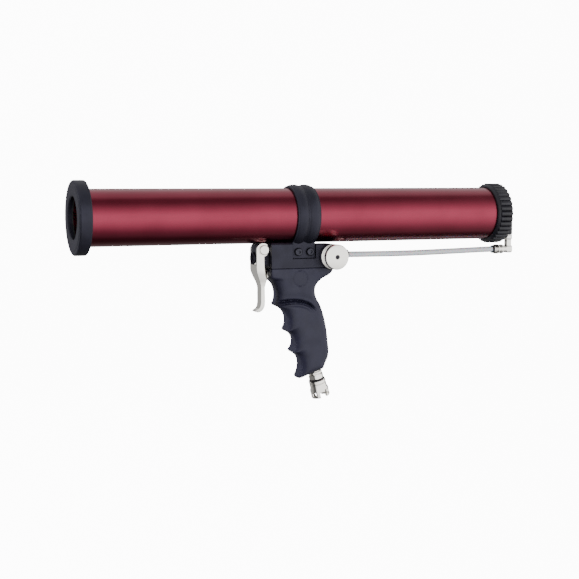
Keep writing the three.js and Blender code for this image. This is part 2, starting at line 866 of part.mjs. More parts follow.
function pinClip() {
  const inner = pinRadius - 0.6 + clearance;
  const ring = sleeve('y', inner, pinRadius + 2, clipY, clipY + clipThickness, 16);
  const opening = box([0, 8], [clipY - 1, clipY + 2], [-inner + 0.3, inner - 0.3]);
  return carve([ring], [opening]);
}

function addTrigger(gun) {
  const pivot = groupAt(gun, pivotX, 0, pivotZ);
  addPart(pivot, 'trigger', trigger(), finishes.chrome);
  addPart(pivot, 'trigger_pin', triggerPin(), finishes.chrome);
  addPart(pivot, 'pin_clip', pinClip(), finishes.springSteel);
}

// ---------------------------------------------------------------------------------------------
// On/off valve, along X in the top of the grip
// ---------------------------------------------------------------------------------------------

const bushingRadius = valveBoreRadius - clearance;
const springRoom = bushingRadius - 1;

function valveBushing() {
  const flangeRear = blockFront - clearance;
  const bore = plungerRadius + clearance;
  const body = turned([
    [bore, bushingFront],
    [bushingFlange - 0.6, bushingFront],
    [bushingFlange, bushingFront + 0.6],
    [bushingFlange, flangeRear],
    [bushingRadius, flangeRear],
    [bushingRadius, bushingRear],
    [springRoom, bushingRear],
    [springRoom, plungerCollar - clearance],
    [bore, plungerCollar - clearance],
  ], 'x');
  return carve([body], [rod('z', 1.5, -10, 10, { x: exhaustPassage.x })]);
}

function valvePlunger() {
  return turned([
    [0, plungerTip],
    [1.6, plungerTip + 0.35],
    [2.6, plungerTip + 1.2],
    [plungerRadius, plungerTip + 2.4],
    [plungerRadius, plungerCollar],
    [springRoom - clearance, plungerCollar],
    [springRoom - clearance, plungerCollar + 1.6],
    [1.6, plungerCollar + 1.6],
    [1.6, plungerCollar + 7.6],
    [0, plungerCollar + 7.6],
  ], 'x', 16);
}

function addValve(gun) {
  const valve = groupAt(gun, 0, 0, valveZ);
  const springFrom = plungerCollar + 1.6 + clearance;
  addPart(valve, 'valve_bushing', valveBushing(), finishes.chrome);
  addPart(valve, 'valve_plunger', valvePlunger(), finishes.chrome);
  addPart(valve, 'valve_spring', coilSpring('x', 2.9, 0.4, 5, springFrom, valveSeatFront - clearance),
    finishes.springSteel);
  addPart(valve, 'valve_seat', sleeve('x', 2.2, bushingRadius, valveSeatFront, valveSeatRear),
    finishes.brass);
}

// ---------------------------------------------------------------------------------------------
// Pressure regulator, across the gun
// ---------------------------------------------------------------------------------------------

function regulatorBonnet() {
  const far = diaphragmY - diaphragmThickness - 2 * clearance;
  const hollow = bonnetRadius - bonnetWall;
  return turned([
    [adjusterRadius + clearance, bonnetNear],
    [bonnetRadius - 0.1, bonnetNear],
    [bonnetRadius, far],
    [hollow, far],
    [hollow, bonnetNear + bonnetFloor],
    [adjusterRadius + clearance, bonnetNear + bonnetFloor],
  ], 'y');
}

function regulatorKnob() {
  const floor = knobFace + knobWall;
  const hollow = bonnetRadius + clearance;
  const span = knobBack - knobFace;
  const groove = (share, depth) => [
    [knobRadius, knobFace + span * share],
    [knobRadius - depth, knobFace + span * share + 0.4],
    [knobRadius - depth, knobFace + span * share + 0.9],
    [knobRadius, knobFace + span * share + 1.3],
  ];
  return turned([
    [knobHoleRadius, knobFace],
    [knobRadius - 1, knobFace],
    [knobRadius, knobFace + 1],
    ...groove(0.36, 0.6),
    ...groove(0.66, 0.9),
    [knobRadius - 0.3, knobBack],
    [hollow, knobBack],
    [hollow, floor],
    [knobHoleRadius, floor],
  ], 'y', 28);
}

function poppet() {
  const top = diaphragmY + clearance;
  return turned([
    [0, top],
    [2.2, top],
    [2.2, top + 1],
    [1.2, top + 1],
    [1.2, 2],
    [3.4, 2],
    [3.4, 4],
    [0, 4],
  ], 'y', 16);
}

function addRegulator(gun) {
  const regulator = groupAt(gun, regulatorX, 0, regulatorZ);
  const hollow = bonnetRadius - bonnetWall;
  const diaphragmNear = diaphragmY - diaphragmThickness - clearance;
  const springSeatFar = springSeatY + springSeatThickness;
  addPart(regulator, 'regulator_bonnet', regulatorBonnet(), finishes.blackMetal);
  addPart(regulator, 'regulator_knob', regulatorKnob(), finishes.chrome);
  addPart(regulator, 'adjusting_screw',
    rod('y', adjusterRadius, knobFace + knobWall + clearance, adjusterEnd), finishes.darkSteel);
  addPart(regulator, 'spring_seat',
    sleeve('y', adjusterRadius + clearance, hollow - clearance, springSeatY, springSeatFar),
    finishes.darkSteel);
  addPart(regulator, 'regulator_spring',
    coilSpring('y', 5.6, 0.8, 4, springSeatFar + clearance, diaphragmNear - clearance), finishes.springSteel);
  addPart(regulator, 'diaphragm',
    rod('y', bonnetRadius, diaphragmNear, diaphragmY - clearance, {}, smallRound), finishes.rubber);
  addPart(regulator, 'poppet', poppet(), finishes.brass);
  addPart(regulator, 'poppet_spring', coilSpring('y', 2.4, 0.35, 4, 4.3, 8.7), finishes.springSteel);
}

// ---------------------------------------------------------------------------------------------
// Air tube, push-in fittings and air arm
// ---------------------------------------------------------------------------------------------

const fittingFace = regulatorX + housingRadius + clearance;
const fittingBore = tubeRadius + clearance;
const colletSleeve = fittingBore + 0.5;
const legRadius = colletSleeve + clearance;
const fittingEnd = fittingFace + 9.2;
const colletStroke = 0.8;
const colletGap = 0.2;

function outletFitting() {
  const tube = turned([
    [1.8, fittingFace - 4.4],
    [4, fittingFace - 4.4],
    [4, fittingFace],
    [5, fittingFace],
    [5.2, fittingEnd],
    [fittingBore + 0.9, fittingEnd],
    [fittingBore + 0.9, fittingEnd - 2.6],
    [fittingBore, fittingEnd - 2.6],
    [fittingBore, fittingFace + 0.8],
    [1.8, fittingFace + 0.8],
  ], 'x');
  const hexagon = sleeve('x', 4.9, outletHex, fittingFace, fittingFace + 3.2, 6);
  return carve([tube, hexagon]).translate(0, 0, outletZ);
}

// Collet: a thin sleeve in the fitting and a flange outside it; `way` points out of the fitting.
function collet(mouth, way, flangeRadius) {
  const at = (distance) => mouth + way * distance;
  return turned([
    [fittingBore, at(-1.5)],
    [colletSleeve, at(-1.5)],
    [colletSleeve, at(colletStroke + 0.2)],
    [flangeRadius, at(colletStroke + 0.2)],
    [flangeRadius, at(colletStroke + 1.3)],
    [fittingBore, at(colletStroke + 1.3)],
  ], 'x', 16);
}

// Route of the air tube from the outlet fitting to the rear elbow, with a slight sag on the way.
const tubeStart = fittingFace + 1.2;
const tubeEnd = elbowFront + 10.9;
const tubeSag = [[0, 0], [0.06, 0.1], [0.16, 0.45], [0.39, 1], [0.68, 0.5], [0.88, -0.05],
  [0.94, -0.09], [1, 0]];
const tubeRoute = smoothLine(tubeSag.map(([share, drop]) => [
  THREE.MathUtils.lerp(tubeStart, tubeEnd, share),
  THREE.MathUtils.lerp(outletZ, rearLegZ, share) - drop,
]));

function airTube() {
  return roundBar(tubeRoute, tubeRadius, 20, 10);
}

function rearElbow() {
  const leg = turned([
    [0, elbowFront],
    [legRadius, elbowFront],
    [legRadius, elbowFront + 1],
    [legRadius + 0.3, elbowFront + 1.3],
    [legRadius + 0.3, elbowFront + 6],
    [legRadius - 0.4, elbowFront + 6.5],
    [legRadius - 0.4, elbowFront + 7.3],
    [legRadius + 0.1, elbowFront + 7.9],
    [legRadius + 0.1, elbowFront + 11.3],
    [legRadius - 0.3, elbowFront + 12],
    [legRadius - 0.3, rearLegX],
    [0, rearLegX],
  ], 'x', 16).translate(0, 0, rearLegZ);
  const upright = turned([
    [0, rearLegZ],
    [legRadius - 0.4, rearLegZ],
    [legRadius - 0.4, elbowTop - 4.6],
    [legRadius + 0.3, elbowTop - 4.2],
    [legRadius + 0.3, elbowTop - clearance],
    [elbowStem, elbowTop - clearance],
    [elbowStem, elbowTop + elbowStemLength],
    [0, elbowTop + elbowStemLength],
  ], 'z', 16).translate(rearLegX, 0, 0);
  const corner = new THREE.SphereGeometry(legRadius, 16, 8).translate(rearLegX, 0, rearLegZ);
  return carve([leg, upright, corner], [
    rod('x', colletSleeve + colletGap, elbowFront - 1, elbowFront + 2.6, { z: rearLegZ }, 16),
    rod('x', fittingBore, elbowFront, elbowFront + 11.4, { z: rearLegZ }, 16),
    rod('x', 1.8, elbowFront, rearLegX, { z: rearLegZ }),
    rod('z', 1.6, rearLegZ, elbowTop + elbowStemLength + 1, { x: rearLegX }),
  ]);
}

function airArm() {
  const hub = turned([
    [armBoltRadius + clearance, capRear + clearance],
    [armHubRadius, capRear + clearance],
    [armHubRadius, armHubRear - 0.8],
    [armHubRadius - 0.8, armHubRear],
    [armBoltRadius + clearance, armHubRear],
  ], 'x').translate(0, 0, barrelRadius);
  const pipeTop = barrelRadius - 7;
  const pipe = rod('z', armPipeRadius, elbowTop, pipeTop, { x: rearLegX }, smallRound);
  return carve([hub, pipe], [
    rod('x', armBoltRadius + clearance, capRear - 1, armHubRear + 0.01, { z: barrelRadius }),
    rod('z', elbowStem + clearance, elbowTop - 1, elbowTop + 8, { x: rearLegX }),
    rod('z', 1.8, elbowTop, pipeTop - 1.5, { x: rearLegX }),
    rod('z', 1.5, pipeTop - 2.5, pipeTop + 4, { x: rearLegX - 2.1 }),
  ]);
}

function armBolt() {
  const headFront = armHubRear + 4 * clearance;
  const shaft = rod('x', armBoltRadius, capRear - 8.3, headFront + 0.5, {}, 16);
  const head = rod('x', armBoltHead, headFront, headFront + 2, {}, 6);
  return carve([shaft, head], [
    rod('x', 1.8, capRear - 9, armHubRear - 1),
    rod('z', 1.2, -10, 10, { x: rearLegX - 2.1 }),
  ]).translate(0, 0, barrelRadius);
}

function addAirFeed(gun) {
  addPart(gun, 'outlet_fitting', outletFitting(), finishes.chrome);
  addPart(gun, 'outlet_collet', collet(fittingEnd, 1, 5).translate(0, 0, outletZ), finishes.rubber);
  addPart(gun, 'air_tube', airTube(), finishes.tube);
  addPart(gun, 'rear_elbow', rearElbow(), finishes.chrome);
  addPart(gun, 'elbow_collet', collet(elbowFront, -1, 4.1).translate(0, 0, rearLegZ), finishes.rubber);
  addPart(gun, 'air_arm', airArm(), finishes.blackPlastic);
  addPart(gun, 'arm_seal',
    sleeve('x', armBoltRadius + clearance, 6.4, armHubRear + clearance, armHubRear + 3 * clearance)
      .translate(0, 0, barrelRadius), finishes.rubber);
  addPart(gun, 'arm_bolt', armBolt(), finishes.darkSteel);
}

// ---------------------------------------------------------------------------------------------
// Air inlet: nipple, seal and claw coupling, made along Z with the air line at -Z
// ---------------------------------------------------------------------------------------------

const nippleBore = 2.8;
const collarDepth = 2.6;
const hexTop = -clearance - collarDepth;
const hexBottom = hexTop - hexLength;
const gasketBottom = hexBottom - clearance - 1;
const bodyTop = gasketBottom - clearance;
const bodyBottom = bodyTop - couplingLength;
const spigotRadius = 4.6;
const spigotBottom = bodyTop - 5.4;

function inletNipple() {
  const turnedPart = turned([
    [nippleBore, inletThreadLength],
    [inletThread, inletThreadLength],
    [inletThread, -clearance],
    [collarRadius, -clearance],
    [collarRadius, hexTop + 0.3],
    [collarRadius - 1, hexTop],
    [collarRadius - 1, hexBottom],
    [spigotRadius, hexBottom],
    [spigotRadius, spigotBottom],
    [nippleBore, spigotBottom],
  ], 'z');
  const hexagon = rod('z', hexFlat / Math.cos(Math.PI / 6), hexBottom, hexTop - 0.4, {}, 6);
  return carve([turnedPart, hexagon], [rod('z', nippleBore, -40, 40, {}, smallRound)]);
}

function couplingBody() {
  const bore = spigotRadius + clearance;
  const cavity = clawRadius - couplingWall;
  const cavityTop = bodyTop - 5.8;
  const shoulder = bodyTop - 7;
  const lip = 2;
  const sleeveBody = turned([
    [bore, bodyTop],
    [couplingRadius - 0.6, bodyTop],
    [couplingRadius, bodyTop - 0.6],
    [couplingRadius, shoulder],
    [clawRadius, shoulder - 2.4],
    [clawRadius, bodyBottom + 0.8],
    [clawRadius - 0.8, bodyBottom],
    [cavity - 1.6, bodyBottom],
    [cavity - 1.6, bodyBottom + lip],
    [cavity, bodyBottom + lip],
    [cavity, cavityTop],
    [bore, cavityTop],
  ], 'z');
  const gapTop = bodyBottom + 6;
  const gap = box([-3.4, 3.4], [-20, 20], [bodyBottom - 1, gapTop]);
  const hookWindow = box([-20, 20], [-6.4, -2.4], [bodyBottom + lip + 0.4, bodyBottom + lip + 4.4]);
  const farWindow = box([-20, 20], [2.4, 6.4], [bodyBottom + lip + 0.4, bodyBottom + lip + 4.4]);
  return carve([sleeveBody], [gap, hookWindow, farWindow]);
}

function addInlet(gun) {
  const inlet = groupAt(gun, inletX, 0, inletZ);
  inlet.rotation.y = -inletTilt;
  const gasketTop = hexBottom - clearance;
  const washerTop = spigotBottom - 2 * clearance;
  addPart(inlet, 'inlet_nipple', inletNipple(), finishes.chrome);
  addPart(inlet, 'coupling_gasket',
    sleeve('z', spigotRadius + clearance, 8, gasketBottom, gasketTop), finishes.rubber);
  addPart(inlet, 'coupling_body', couplingBody(), finishes.chrome);
  addPart(inlet, 'coupling_washer',
    sleeve('z', 3.6, clawRadius - couplingWall - clearance, washerTop - 2, washerTop), finishes.rubber);
}

// ---------------------------------------------------------------------------------------------
// Assembly
// ---------------------------------------------------------------------------------------------

const part = new THREE.Group();
const gun = groupAt(part, -gripMiddle.x, 0, -gripMiddle.z);
addBarrel(gun);
addClamp(gun);
addBlock(gun);
addPart(gun, 'grip', grip(), finishes.blackPlastic);
addTrigger(gun);
addValve(gun);
addRegulator(gun);
addAirFeed(gun);
addInlet(gun);

export default part;
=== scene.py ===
# %% [markdown]
# # Air-powered sealant gun
#
# The gun squeezes a long foil pack of sealant. A red anodised tube holds the pack, a screw ring closes
# the front, a ribbed cap closes the back, and air from the pistol grip drives a piston along the tube.
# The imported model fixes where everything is. This file gives each piece its finished shape and its
# finish, and then sets up a small studio round it.

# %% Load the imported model
import math

import bmesh
import bpy
from mathutils import Matrix, Vector
from mathutils.kdtree import KDTree


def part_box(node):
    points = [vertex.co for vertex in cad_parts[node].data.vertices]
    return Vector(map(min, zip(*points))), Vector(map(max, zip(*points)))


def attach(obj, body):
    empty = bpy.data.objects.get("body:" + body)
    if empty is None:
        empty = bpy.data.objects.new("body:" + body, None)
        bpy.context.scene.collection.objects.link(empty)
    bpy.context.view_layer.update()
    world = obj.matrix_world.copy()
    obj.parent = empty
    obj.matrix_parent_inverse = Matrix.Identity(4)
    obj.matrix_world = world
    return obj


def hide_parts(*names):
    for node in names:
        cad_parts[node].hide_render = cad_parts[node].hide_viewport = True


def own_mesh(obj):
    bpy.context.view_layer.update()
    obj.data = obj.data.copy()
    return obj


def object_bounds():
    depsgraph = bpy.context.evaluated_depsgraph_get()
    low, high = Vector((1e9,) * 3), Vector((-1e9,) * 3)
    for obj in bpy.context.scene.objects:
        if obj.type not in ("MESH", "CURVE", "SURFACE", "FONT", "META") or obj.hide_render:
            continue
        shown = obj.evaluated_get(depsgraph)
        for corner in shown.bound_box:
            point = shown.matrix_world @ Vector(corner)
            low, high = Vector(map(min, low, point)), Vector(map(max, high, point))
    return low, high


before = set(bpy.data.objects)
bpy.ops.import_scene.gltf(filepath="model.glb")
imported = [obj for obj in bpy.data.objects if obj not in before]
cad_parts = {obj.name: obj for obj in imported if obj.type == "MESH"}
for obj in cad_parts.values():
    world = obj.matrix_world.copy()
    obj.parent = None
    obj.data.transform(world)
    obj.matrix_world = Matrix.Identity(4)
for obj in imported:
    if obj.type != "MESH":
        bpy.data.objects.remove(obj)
cad_box = [list(corner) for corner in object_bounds()]

# %% [markdown]
# Lengths on the gun are easiest to think of in millimetres, counted along the barrel from the front
# ring's face and up from the barrel's axis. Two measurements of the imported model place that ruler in
# Blender's space, which is in metres: the ring's front face, and the middle of the barrel.

# %% The gun's own ruler
MM = 0.001
ring_low, ring_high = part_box("front_ring")
barrel_low, barrel_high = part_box("barrel_tube")
RULER = Matrix.Translation((ring_low.x, 0, (barrel_low.z + barrel_high.z) / 2)) @ Matrix.Scale(MM, 4)
print("front face at x =", round(ring_low.x, 4), "m, axis at z =", round(RULER.translation.z, 4), "m")

# %% [markdown]
# The camera stands in front of the nozzle end, a little over a metre away, looks along the barrel at
# an angle and slightly down. It is made first, because everything else is judged through it. A lens of
# 71.5 mm on the usual 36 mm sensor gives the flat, product-catalogue perspective.

# %% Camera
def placed(name, data):
    """A new object in the scene."""
    thing = bpy.data.objects.new(name, data)
    bpy.context.scene.collection.objects.link(thing)
    return thing


camera_data = bpy.data.cameras.new("catalogue camera")
camera_data.lens = 71.5
camera_data.sensor_width = 36
camera = placed("catalogue camera", camera_data)
camera.location = RULER @ Vector((-220.8, -1050.9, 33.9))
camera.rotation_euler = (math.radians(84.61), 0, math.radians(-22.56))
bpy.context.scene.camera = camera
print("camera at", [round(c, 3) for c in camera.location])

# %% [markdown]
# The studio is a plain pale cove: a round floor that curves up into a wall, so no corner shows from any
# side. It is one profile spun round the object. Metal shows what stands round it, so the cove is hidden
# from reflections and casts no light, and a simple sky and four lamps stand in for it. In front the sky
# is bright near the horizon and dark overhead and below, which gives a round tube a bright middle and
# two dark bands. Behind it is dim, but pale overhead, and that makes the tube's pale top edge.

# %% Studio
cad_low, cad_high = (Vector(corner) for corner in cad_box)
FLOOR = cad_low.z - 0.30
COVE_RADIUS, COVE_BEND, COVE_HEIGHT = 3.2, 1.2, 3.6


def loose(name, bm):
    """Turns a shape into an object."""
    mesh = bpy.data.meshes.new(name)
    bm.to_mesh(mesh)
    bm.free()
    return placed(name, mesh)


def srgb(code):
    """The linear colour of a hex code such as #8e2f3f."""
    channels = [int(code[i:i + 2], 16) / 255 for i in (1, 3, 5)]
    return (*[c / 12.92 if c <= 0.04045 else ((c + 0.055) / 1.055) ** 2.4 for c in channels], 1)


def add(tree, kind, inputs=None, stops=(), **settings):
    """Adds one node. An input that is a socket is linked, any other is set. Stops fill a colour ramp."""
    node = tree.nodes.new(kind)
    for name, value in settings.items():
        setattr(node, name, value)
    for socket, value in (inputs or {}).items():
        if isinstance(value, bpy.types.NodeSocket):
            tree.links.new(value, node.inputs[socket])
        else:
            node.inputs[socket].default_value = value
    while stops and len(node.color_ramp.elements) < len(stops):
        node.color_ramp.elements.new(0.5)
    for element, (position, colour) in zip(node.color_ramp.elements if stops else (), stops):
        element.position = position
        element.color = colour
    return node


cove_material = bpy.data.materials.new("matt white paper")
cove_material.use_nodes = True
paper = cove_material.node_tree.nodes["Principled BSDF"]
paper.inputs["Base Color"].default_value = srgb("#f7f7f7")
paper.inputs["Roughness"].default_value = 1
paper.inputs["Emission Color"].default_value = (1, 1, 1, 1)
paper.inputs["Emission Strength"].default_value = 11.0

bm = bmesh.new()
profile = [(0, 0), (COVE_RADIUS - COVE_BEND, 0)]
profile += [(COVE_RADIUS - COVE_BEND + COVE_BEND * math.sin(a), COVE_BEND - COVE_BEND * math.cos(a))
            for a in [math.pi / 2 * i / 10 for i in range(1, 11)]]
profile.append((COVE_RADIUS, COVE_HEIGHT))
corners = [bm.verts.new((radius, 0, height)) for radius, height in profile]
edges = [bm.edges.new(pair) for pair in zip(corners, corners[1:])]
bmesh.ops.spin(bm, geom=corners + edges, cent=(0, 0, 0), axis=(0, 0, 1), angle=2 * math.pi,
               steps=64, use_merge=True)
bmesh.ops.remove_doubles(bm, verts=bm.verts, dist=1e-5)
bmesh.ops.recalc_face_normals(bm, faces=bm.faces)
bmesh.ops.translate(bm, verts=bm.verts, vec=(0, 0, FLOOR))
cove = loose("cove", bm)
cove.data.shade_smooth()
cove.data.materials.append(cove_material)
cove.visible_glossy = cove.visible_diffuse = False

world = bpy.data.worlds.new("studio sky")
bpy.context.scene.world = world
world.use_nodes = True
sky = world.node_tree
sky.nodes.clear()
direction = add(sky, "ShaderNodeTexCoord").outputs["Generated"]
height = add(sky, "ShaderNodeSeparateXYZ", {"Vector": direction}).outputs["Z"]
FORWARD = (0.384, -0.923, 0)
forward = add(sky, "ShaderNodeVectorMath", {0: direction, 1: FORWARD},
              operation="DOT_PRODUCT").outputs["Value"]
rise = add(sky, "ShaderNodeMapRange", {"Value": height, "From Min": -1, "From Max": 1}).outputs["Result"]
GREYS = [(0.0, 0.1), (0.09, 0.2), (0.25, 0.66), (0.42, 1.0), (0.60, 1.0), (0.75, 0.55), (0.91, 0.13),
         (1.0, 0.08)]
stops = [(place, (grey, grey, grey * 1.02, 1)) for place, grey in GREYS]
front = add(sky, "ShaderNodeValToRGB", {"Fac": rise}, stops).outputs["Color"]
dusk = add(sky, "ShaderNodeMapRange", {"Value": forward, "From Min": -0.2, "From Max": -0.9,
                                       "To Min": 0.03, "To Max": 0.18}).outputs["Result"]
overhead = add(sky, "ShaderNodeMapRange", {"Value": height, "From Min": 0.25, "From Max": 0.5,
                                           "To Max": 0.42}).outputs["Result"]
back = add(sky, "ShaderNodeMath", {0: dusk, 1: overhead}, operation="MAXIMUM").outputs["Value"]
facing = add(sky, "ShaderNodeMapRange", {"Value": forward, "From Min": 0.1,
                                         "From Max": 0.3}).outputs["Result"]
tint = add(sky, "ShaderNodeMix", {"Factor": facing, "A": back, "B": front}).outputs["Result"]
glow = add(sky, "ShaderNodeBackground", {"Color": tint, "Strength": 2.35}).outputs["Background"]
add(sky, "ShaderNodeOutputWorld", {"Surface": glow})


def softbox(name, place, size, watts, target=(0.02, 0, 0.07)):
    light = bpy.data.lights.new(name, "AREA")
    light.shape = "RECTANGLE"
    light.size, light.size_y = size
    light.energy = watts
    lamp = placed(name, light)
    lamp.location = place
    lamp.rotation_euler = (Vector(target) - Vector(place)).to_track_quat("-Z", "Y").to_euler()
    lamp.visible_glossy = False


softbox("key softbox", (0.6, -2.1, 0.7), (1.6, 0.8), 18)
softbox("top softbox", (0, 0.1, 1.9), (1.6, 1.6), 5)
softbox("side softbox", (-1.7, 0.9, 0.3), (0.9, 0.9), 55)
softbox("back softbox", (0.6, 1.9, 0.8), (1.8, 0.5), 8)
print("floor at", round(FLOOR, 3), "m, softboxes:", len(bpy.data.lights))

# %% [markdown]
# ## Finishes
#
# Every finish starts as the real material, and then gets up to three patterns of noise: close tones
# vary its colour, wear varies its roughness, and relief bumps its surface. Patterns are counted in
# millimetres along the object, whose own coordinates are in metres.

# %% Helper for finishes
RED, BLACK_METAL, GRIP = "red anodised aluminium", "black anodised aluminium", "moulded glass-filled nylon"
ACETAL, NICKEL, OXIDE = "moulded black acetal", "polished nickel plate", "black oxide steel"
SPRING, BRASS, RUBBER = "drawn spring steel", "turned brass", "nitrile rubber"
NATURAL, TUBE = "natural acetal", "polyurethane tube"
finishes = {}


def finish(name, colour, roughness, metallic=0.0, tones=(), wear=(), relief=(), **extra):
    """Makes a material. Each pattern is its noise, then two tones, two roughnesses or a depth in mm."""
    material = finishes[name] = bpy.data.materials.new(name)
    material.use_nodes = True
    tree = material.node_tree
    shader = tree.nodes["Principled BSDF"].inputs
    shader["Base Color"].default_value = srgb(colour)
    shader["Roughness"].default_value = roughness
    shader["Metallic"].default_value = metallic
    for socket, value in extra.items():
        shader[socket.replace("_", " ")].default_value = value
    coordinates = add(tree, "ShaderNodeTexCoord").outputs["Object"]

    def grains(size_mm, detail=3.0, stretch=(1, 1, 1)):
        """Noise whose grains are about size_mm across, or stretch times that along each axis."""
        scale = [1 / (size_mm * MM * s) for s in stretch]
        place = add(tree, "ShaderNodeMapping", {"Vector": coordinates, "Scale": scale}).outputs["Vector"]
        noise = add(tree, "ShaderNodeTexNoise", {"Vector": place, "Scale": 1.0, "Detail": detail})
        return noise.outputs["Fac"]

    if tones:
        *noise, dark, light = tones
        mix = add(tree, "ShaderNodeValToRGB", {"Fac": grains(*noise)},
                  [(0.35, srgb(dark)), (0.65, srgb(light))])
        tree.links.new(mix.outputs["Color"], shader["Base Color"])
    if wear:
        *noise, low, high = wear
        rough = add(tree, "ShaderNodeMapRange", {"Value": grains(*noise), "From Min": 0.3, "From Max": 0.7,
                                                 "To Min": low, "To Max": high})
        tree.links.new(rough.outputs["Result"], shader["Roughness"])
    if relief:
        *noise, depth = relief
        bump = add(tree, "ShaderNodeBump", {"Height": grains(*noise), "Distance": depth * MM,
                                            "Strength": 1.0})
        tree.links.new(bump.outputs["Normal"], shader["Normal"])
    print(name)


# %% [markdown]
# The barrel is drawn aluminium tube, dyed red and anodised. The dye sits in a clear oxide layer, so the
# metal shines through it, deep red, with a satin lustre. Drawing leaves faint lines along the tube,
# and the oxide varies the tone a little over a few centimetres. The lines on the real tube are about
# 0.05 mm apart. They are drawn at 0.5 mm here, so that they can show.

# %% Red anodised aluminium
LINES = (0.5, 2, (80, 1, 1))
finish(RED, "#7f2037", 0.3, 1.0, (30, "#7b1d34", "#83233a"), (*LINES, 0.27, 0.36), (*LINES, 0.004),
       Coat_Weight=0.45, Coat_Roughness=0.12)

# %% [markdown]
# The front ring, the strap and the valve block are aluminium, bead-blasted and anodised black. The
# blasting gives a fine even grain of about 0.1 mm, drawn at 0.35 mm, and the black dye leaves a
# slightly blue grey where light falls on it.

# %% Black anodised aluminium
finish(BLACK_METAL, "#26252f", 0.5, 0.5, (12, "#23222d", "#292834"), (0.35, 2, 0.46, 0.56),
       (0.35, 2, 0.03), Specular_IOR_Level=0.35)

# %% [markdown]
# The grip is injection-moulded nylon with glass fibre. The tool is spark-eroded, which prints a fine
# even grain on the plastic, about 0.3 mm across. The plastic is charcoal with a blue cast, and hands
# polish it slightly, so its roughness varies over a few millimetres.

# %% Moulded nylon
finish(GRIP, "#1f1e2e", 0.5, 0.0, (9, "#1e1d2d", "#232233"), (14, 0.46, 0.58), (0.4, 0.05),
       Specular_IOR_Level=0.3)

# %% [markdown]
# The rear cap and the air arm are moulded acetal, black and waxier than the grip: smoother, with a
# soft shine along the crests of the ribs.

# %% Moulded acetal
finish(ACETAL, "#17161d", 0.4, 0.0, (7, "#15141b", "#1a1922"), (), (0.6, 2, 0.02), Specular_IOR_Level=0.35)

# %% [markdown]
# The trigger, knob, elbow and coupling are zinc or brass, polished and nickel plated. Plating gives a
# warm white metal. Polishing leaves hair-fine marks, and handling leaves patches that are slightly
# duller, so only the roughness varies.

# %% Bright nickel
finish(NICKEL, "#f8f5ee", 0.14, 1.0, (), (5, 4, 0.1, 0.2), (0.3, 2, (1, 1, 12), 0.002))

# %% [markdown]
# Screws and the adjusting spindle are steel with a black oxide film: dark, oily and still metallic.
# Springs and clips are bare spring steel, drawn, so it shines along the wire. The valve seat, poppet
# and silencer are brass, turned or sintered, and dull from handling.

# %% Steel and brass
finish(OXIDE, "#33333a", 0.34, 1.0, (1.5, "#2d2d33", "#3a3a42"), (), (0.4, 2, 0.01))
finish(SPRING, "#9c9ca2", 0.28, 1.0, (), (0.6, 0.22, 0.36))
finish(BRASS, "#b8985a", 0.3, 1.0, (2, "#ad8d50", "#bf9f62"), (), (0.3, 2, 0.01))

# %% [markdown]
# Seals, collets and gaskets are nitrile rubber or black plastic, dull and slightly dusty. The piston
# is turned from natural acetal, an off-white, waxy plastic. The air line is extruded polyurethane:
# milky grey and a little translucent, with a glossy skin.

# %% Rubber and plastics
finish(RUBBER, "#1c1c1f", 0.72, 0.0, (1.2, "#19191b", "#232326"), (), (0.4, 3, 0.02))
finish(NATURAL, "#d9d6cd", 0.45, 0.0, (), (), (0.5, 2, 0.01), Subsurface_Weight=0.15, Subsurface_Scale=0.004)
finish(TUBE, "#c9cbd1", 0.28, 0.0, (18, 2, (4, 1, 1), "#c2c4ca", "#cfd1d6"), (), (1.0, 2, (20, 1, 1), 0.01),
       Subsurface_Weight=0.3, Subsurface_Scale=0.003, Coat_Weight=0.2)
print(len(finishes), "finishes")

# %% [markdown]
# ## Shaping helpers
#
# Most pieces of the gun were turned on a lathe, so most are an outline spun round an axis. An outline is
# a list of (radius, distance along the axis) in millimetres. Blocks start as a side view drawn out to a
# width. Boolean operations join and cut them as a mill would, and each piece's long edges are broken.

# %% Helpers for shapes
TURN = {"x": Matrix.Rotation(math.pi / 2, 4, "Y"), "y": Matrix.Rotation(-math.pi / 2, 4, "X"),
        "z": Matrix.Identity(4)}


def arc(centre, along, radius, start, end, steps=8):
    """Outline points on an arc, from one angle to another in degrees."""
    angles = [math.radians(start + (end - start) * i / steps) for i in range(steps + 1)]
    return [(centre + radius * math.cos(a), along + radius * math.sin(a)) for a in angles]


def tidy(bm, distance=0.001):
    bmesh.ops.remove_doubles(bm, verts=bm.verts, dist=distance)
    bmesh.ops.dissolve_degenerate(bm, edges=bm.edges, dist=distance)
    bmesh.ops.recalc_face_normals(bm, faces=bm.faces)
    return bm


def turned(outline, axis="x", at=(0, 0, 0), steps=64):
    """Spins an outline round an axis through a point. The outline closes itself off the axis."""
    bm = bmesh.new()
    verts = [bm.verts.new((radius, 0, along)) for radius, along in outline]
    edges = [bm.edges.new(pair) for pair in zip(verts, verts[1:])]
    if outline[0][0] > 0:
        edges.append(bm.edges.new((verts[-1], verts[0])))
    bmesh.ops.spin(bm, geom=verts + edges, cent=(0, 0, 0), axis=(0, 0, 1), angle=2 * math.pi,
                   steps=steps, use_merge=True)
    bmesh.ops.transform(bm, verts=bm.verts, matrix=Matrix.Translation(at) @ TURN[axis])
    return tidy(bm)


def rod(axis, radius, start, end, at=(0, 0, 0), steps=32):
    return turned([(0, start), (radius, start), (radius, end), (0, end)], axis, at, steps)


